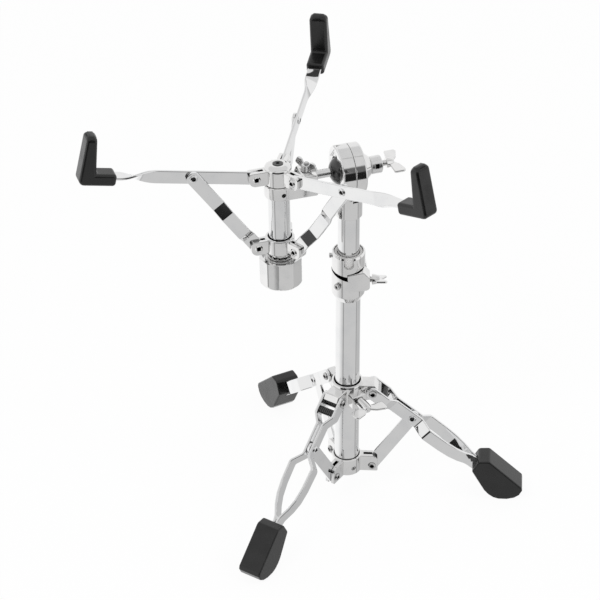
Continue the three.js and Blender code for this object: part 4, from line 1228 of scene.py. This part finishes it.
# Studio
def light_world():
    """A white room: pale all round and overhead, with the dark end of the room in front."""
    world = bpy.data.worlds.new("studio")
    bpy.context.scene.world = world
    world.use_nodes = True
    shader = Shader(world.node_tree)
    way = shader.node("ShaderNodeTexCoord", None, None, "Generated")
    parts = shader.node("ShaderNodeSeparateXYZ", None, {"Vector": way}).socket.node
    across = Value(shader, parts.outputs["X"])
    along = Value(shader, parts.outputs["Y"])
    up = Value(shader, parts.outputs["Z"])
    azimuth = shader.math("ARCTAN2", across, 0 - along)

    def band(centre, width, soft):
        """1 within the width about an azimuth, where 0 looks at the camera's end and left is negative."""
        away = shader.math("ABSOLUTE", azimuth - math.radians(centre), 0.0)
        return 1 - shader.smoothstep(away, math.radians(width), math.radians(width + soft))

    front = band(0, 42, 8)
    below = 1 - shader.smoothstep(up, -0.37, -0.31)
    overhead = shader.smoothstep(up, 0.56, 0.66)
    middle = (1 - below) * (1 - overhead)
    left_white = shader.smoothstep(0 - azimuth, math.radians(42), math.radians(95))
    right_grey = shader.smoothstep(azimuth, math.radians(86), math.radians(100))
    behind = shader.smoothstep(azimuth, math.radians(136), math.radians(156))
    floor_tone = 0.67 + 0.4 * left_white - 0.1 * right_grey + 0.36 * behind
    strips = shader.clamped(band(-43, 1.5, 5) + band(84, 1.5, 5))
    darkness = 0.985 - 0.14 * shader.smoothstep(up, 0.18, 0.27)
    tone = overhead * 0.78 + middle * (1 - front * darkness) * 0.98 + below * floor_tone
    tone = tone * (1 - 0.5 * strips)
    path = shader.node("ShaderNodeLightPath", None, None, "Is Glossy Ray")
    seen = shader.node("ShaderNodeLightPath", None, None, "Is Camera Ray")
    level = seen + (1 - seen) * (path * tone + (1 - path) * 0.72)
    background = shader.node("ShaderNodeBackground", None, {"Color": grey(1.0), "Strength": level})
    shader.node("ShaderNodeOutputWorld", None, {"Surface": background})


def light_lamp(name, place, aim, size, power):
    lamp = bpy.data.lights.new(name, "AREA")
    lamp.shape = "DISK"
    lamp.size = size
    lamp.energy = power
    holder = bpy.data.objects.new(name, lamp)
    holder.visible_glossy = False
    bpy.context.scene.collection.objects.link(holder)
    holder.location = place
    holder.rotation_euler = (Vector(aim) - Vector(place)).to_track_quat("-Z", "Y").to_euler()


def lay_floor():
    begin()
    bpy.ops.mesh.primitive_plane_add(size=12, location=(0, 0, -0.0005))
    floor = bpy.context.object
    floor.name = "studio_floor"
    floor.visible_glossy = False
    material, shader = surface("pale_floor")
    clouds = shader.noise(3.0, 3.0)
    tone = shader.colour_mix(clouds, grey(0.9), grey(0.94))
    painted = shader.node("ShaderNodeBsdfDiffuse", None, {"Color": tone})
    glow = shader.node("ShaderNodeEmission", None, {"Color": grey(1.0), "Strength": 1.0})
    seen = shader.node("ShaderNodeLightPath", None, None, "Is Camera Ray")
    mixed = shader.node("ShaderNodeMixShader", None, {0: seen * 0.94, 1: painted, 2: glow})
    shader.node("ShaderNodeOutputMaterial", None, {"Surface": mixed})
    floor.data.materials.append(material)


def set_camera():
    lens = bpy.data.cameras.new("photo_camera")
    lens.sensor_width = 36.0
    lens.lens = 226.93
    lens.clip_end = 50.0
    camera = bpy.data.objects.new("photo_camera", lens)
    bpy.context.scene.collection.objects.link(camera)
    elevation = math.radians(36.251)
    target = Vector((-0.00784, -0.00902, 0.2420))
    distance = 3.818
    camera.location = target + Vector((0, -math.cos(elevation), math.sin(elevation))) * distance
    camera.rotation_euler = (math.pi / 2 - elevation, 0, 0)
    bpy.context.scene.camera = camera


set_camera()
light_world()
light_lamp("key", (-1.1, -1.3, 2.0), (0, 0, 0.25), 0.9, 16)
light_lamp("fill", (1.5, -0.6, 1.6), (0, 0, 0.25), 1.2, 7)
lay_floor()
dress_column()
dress_lower_collar()
dress_crown()
dress_legs()
dress_clamp()
dress_tilter()
dress_offset()
dress_hub()
dress_slider()
dress_nut()
dress_arms()
finish_cup()

bpy.context.scene.view_settings.view_transform = "Standard"
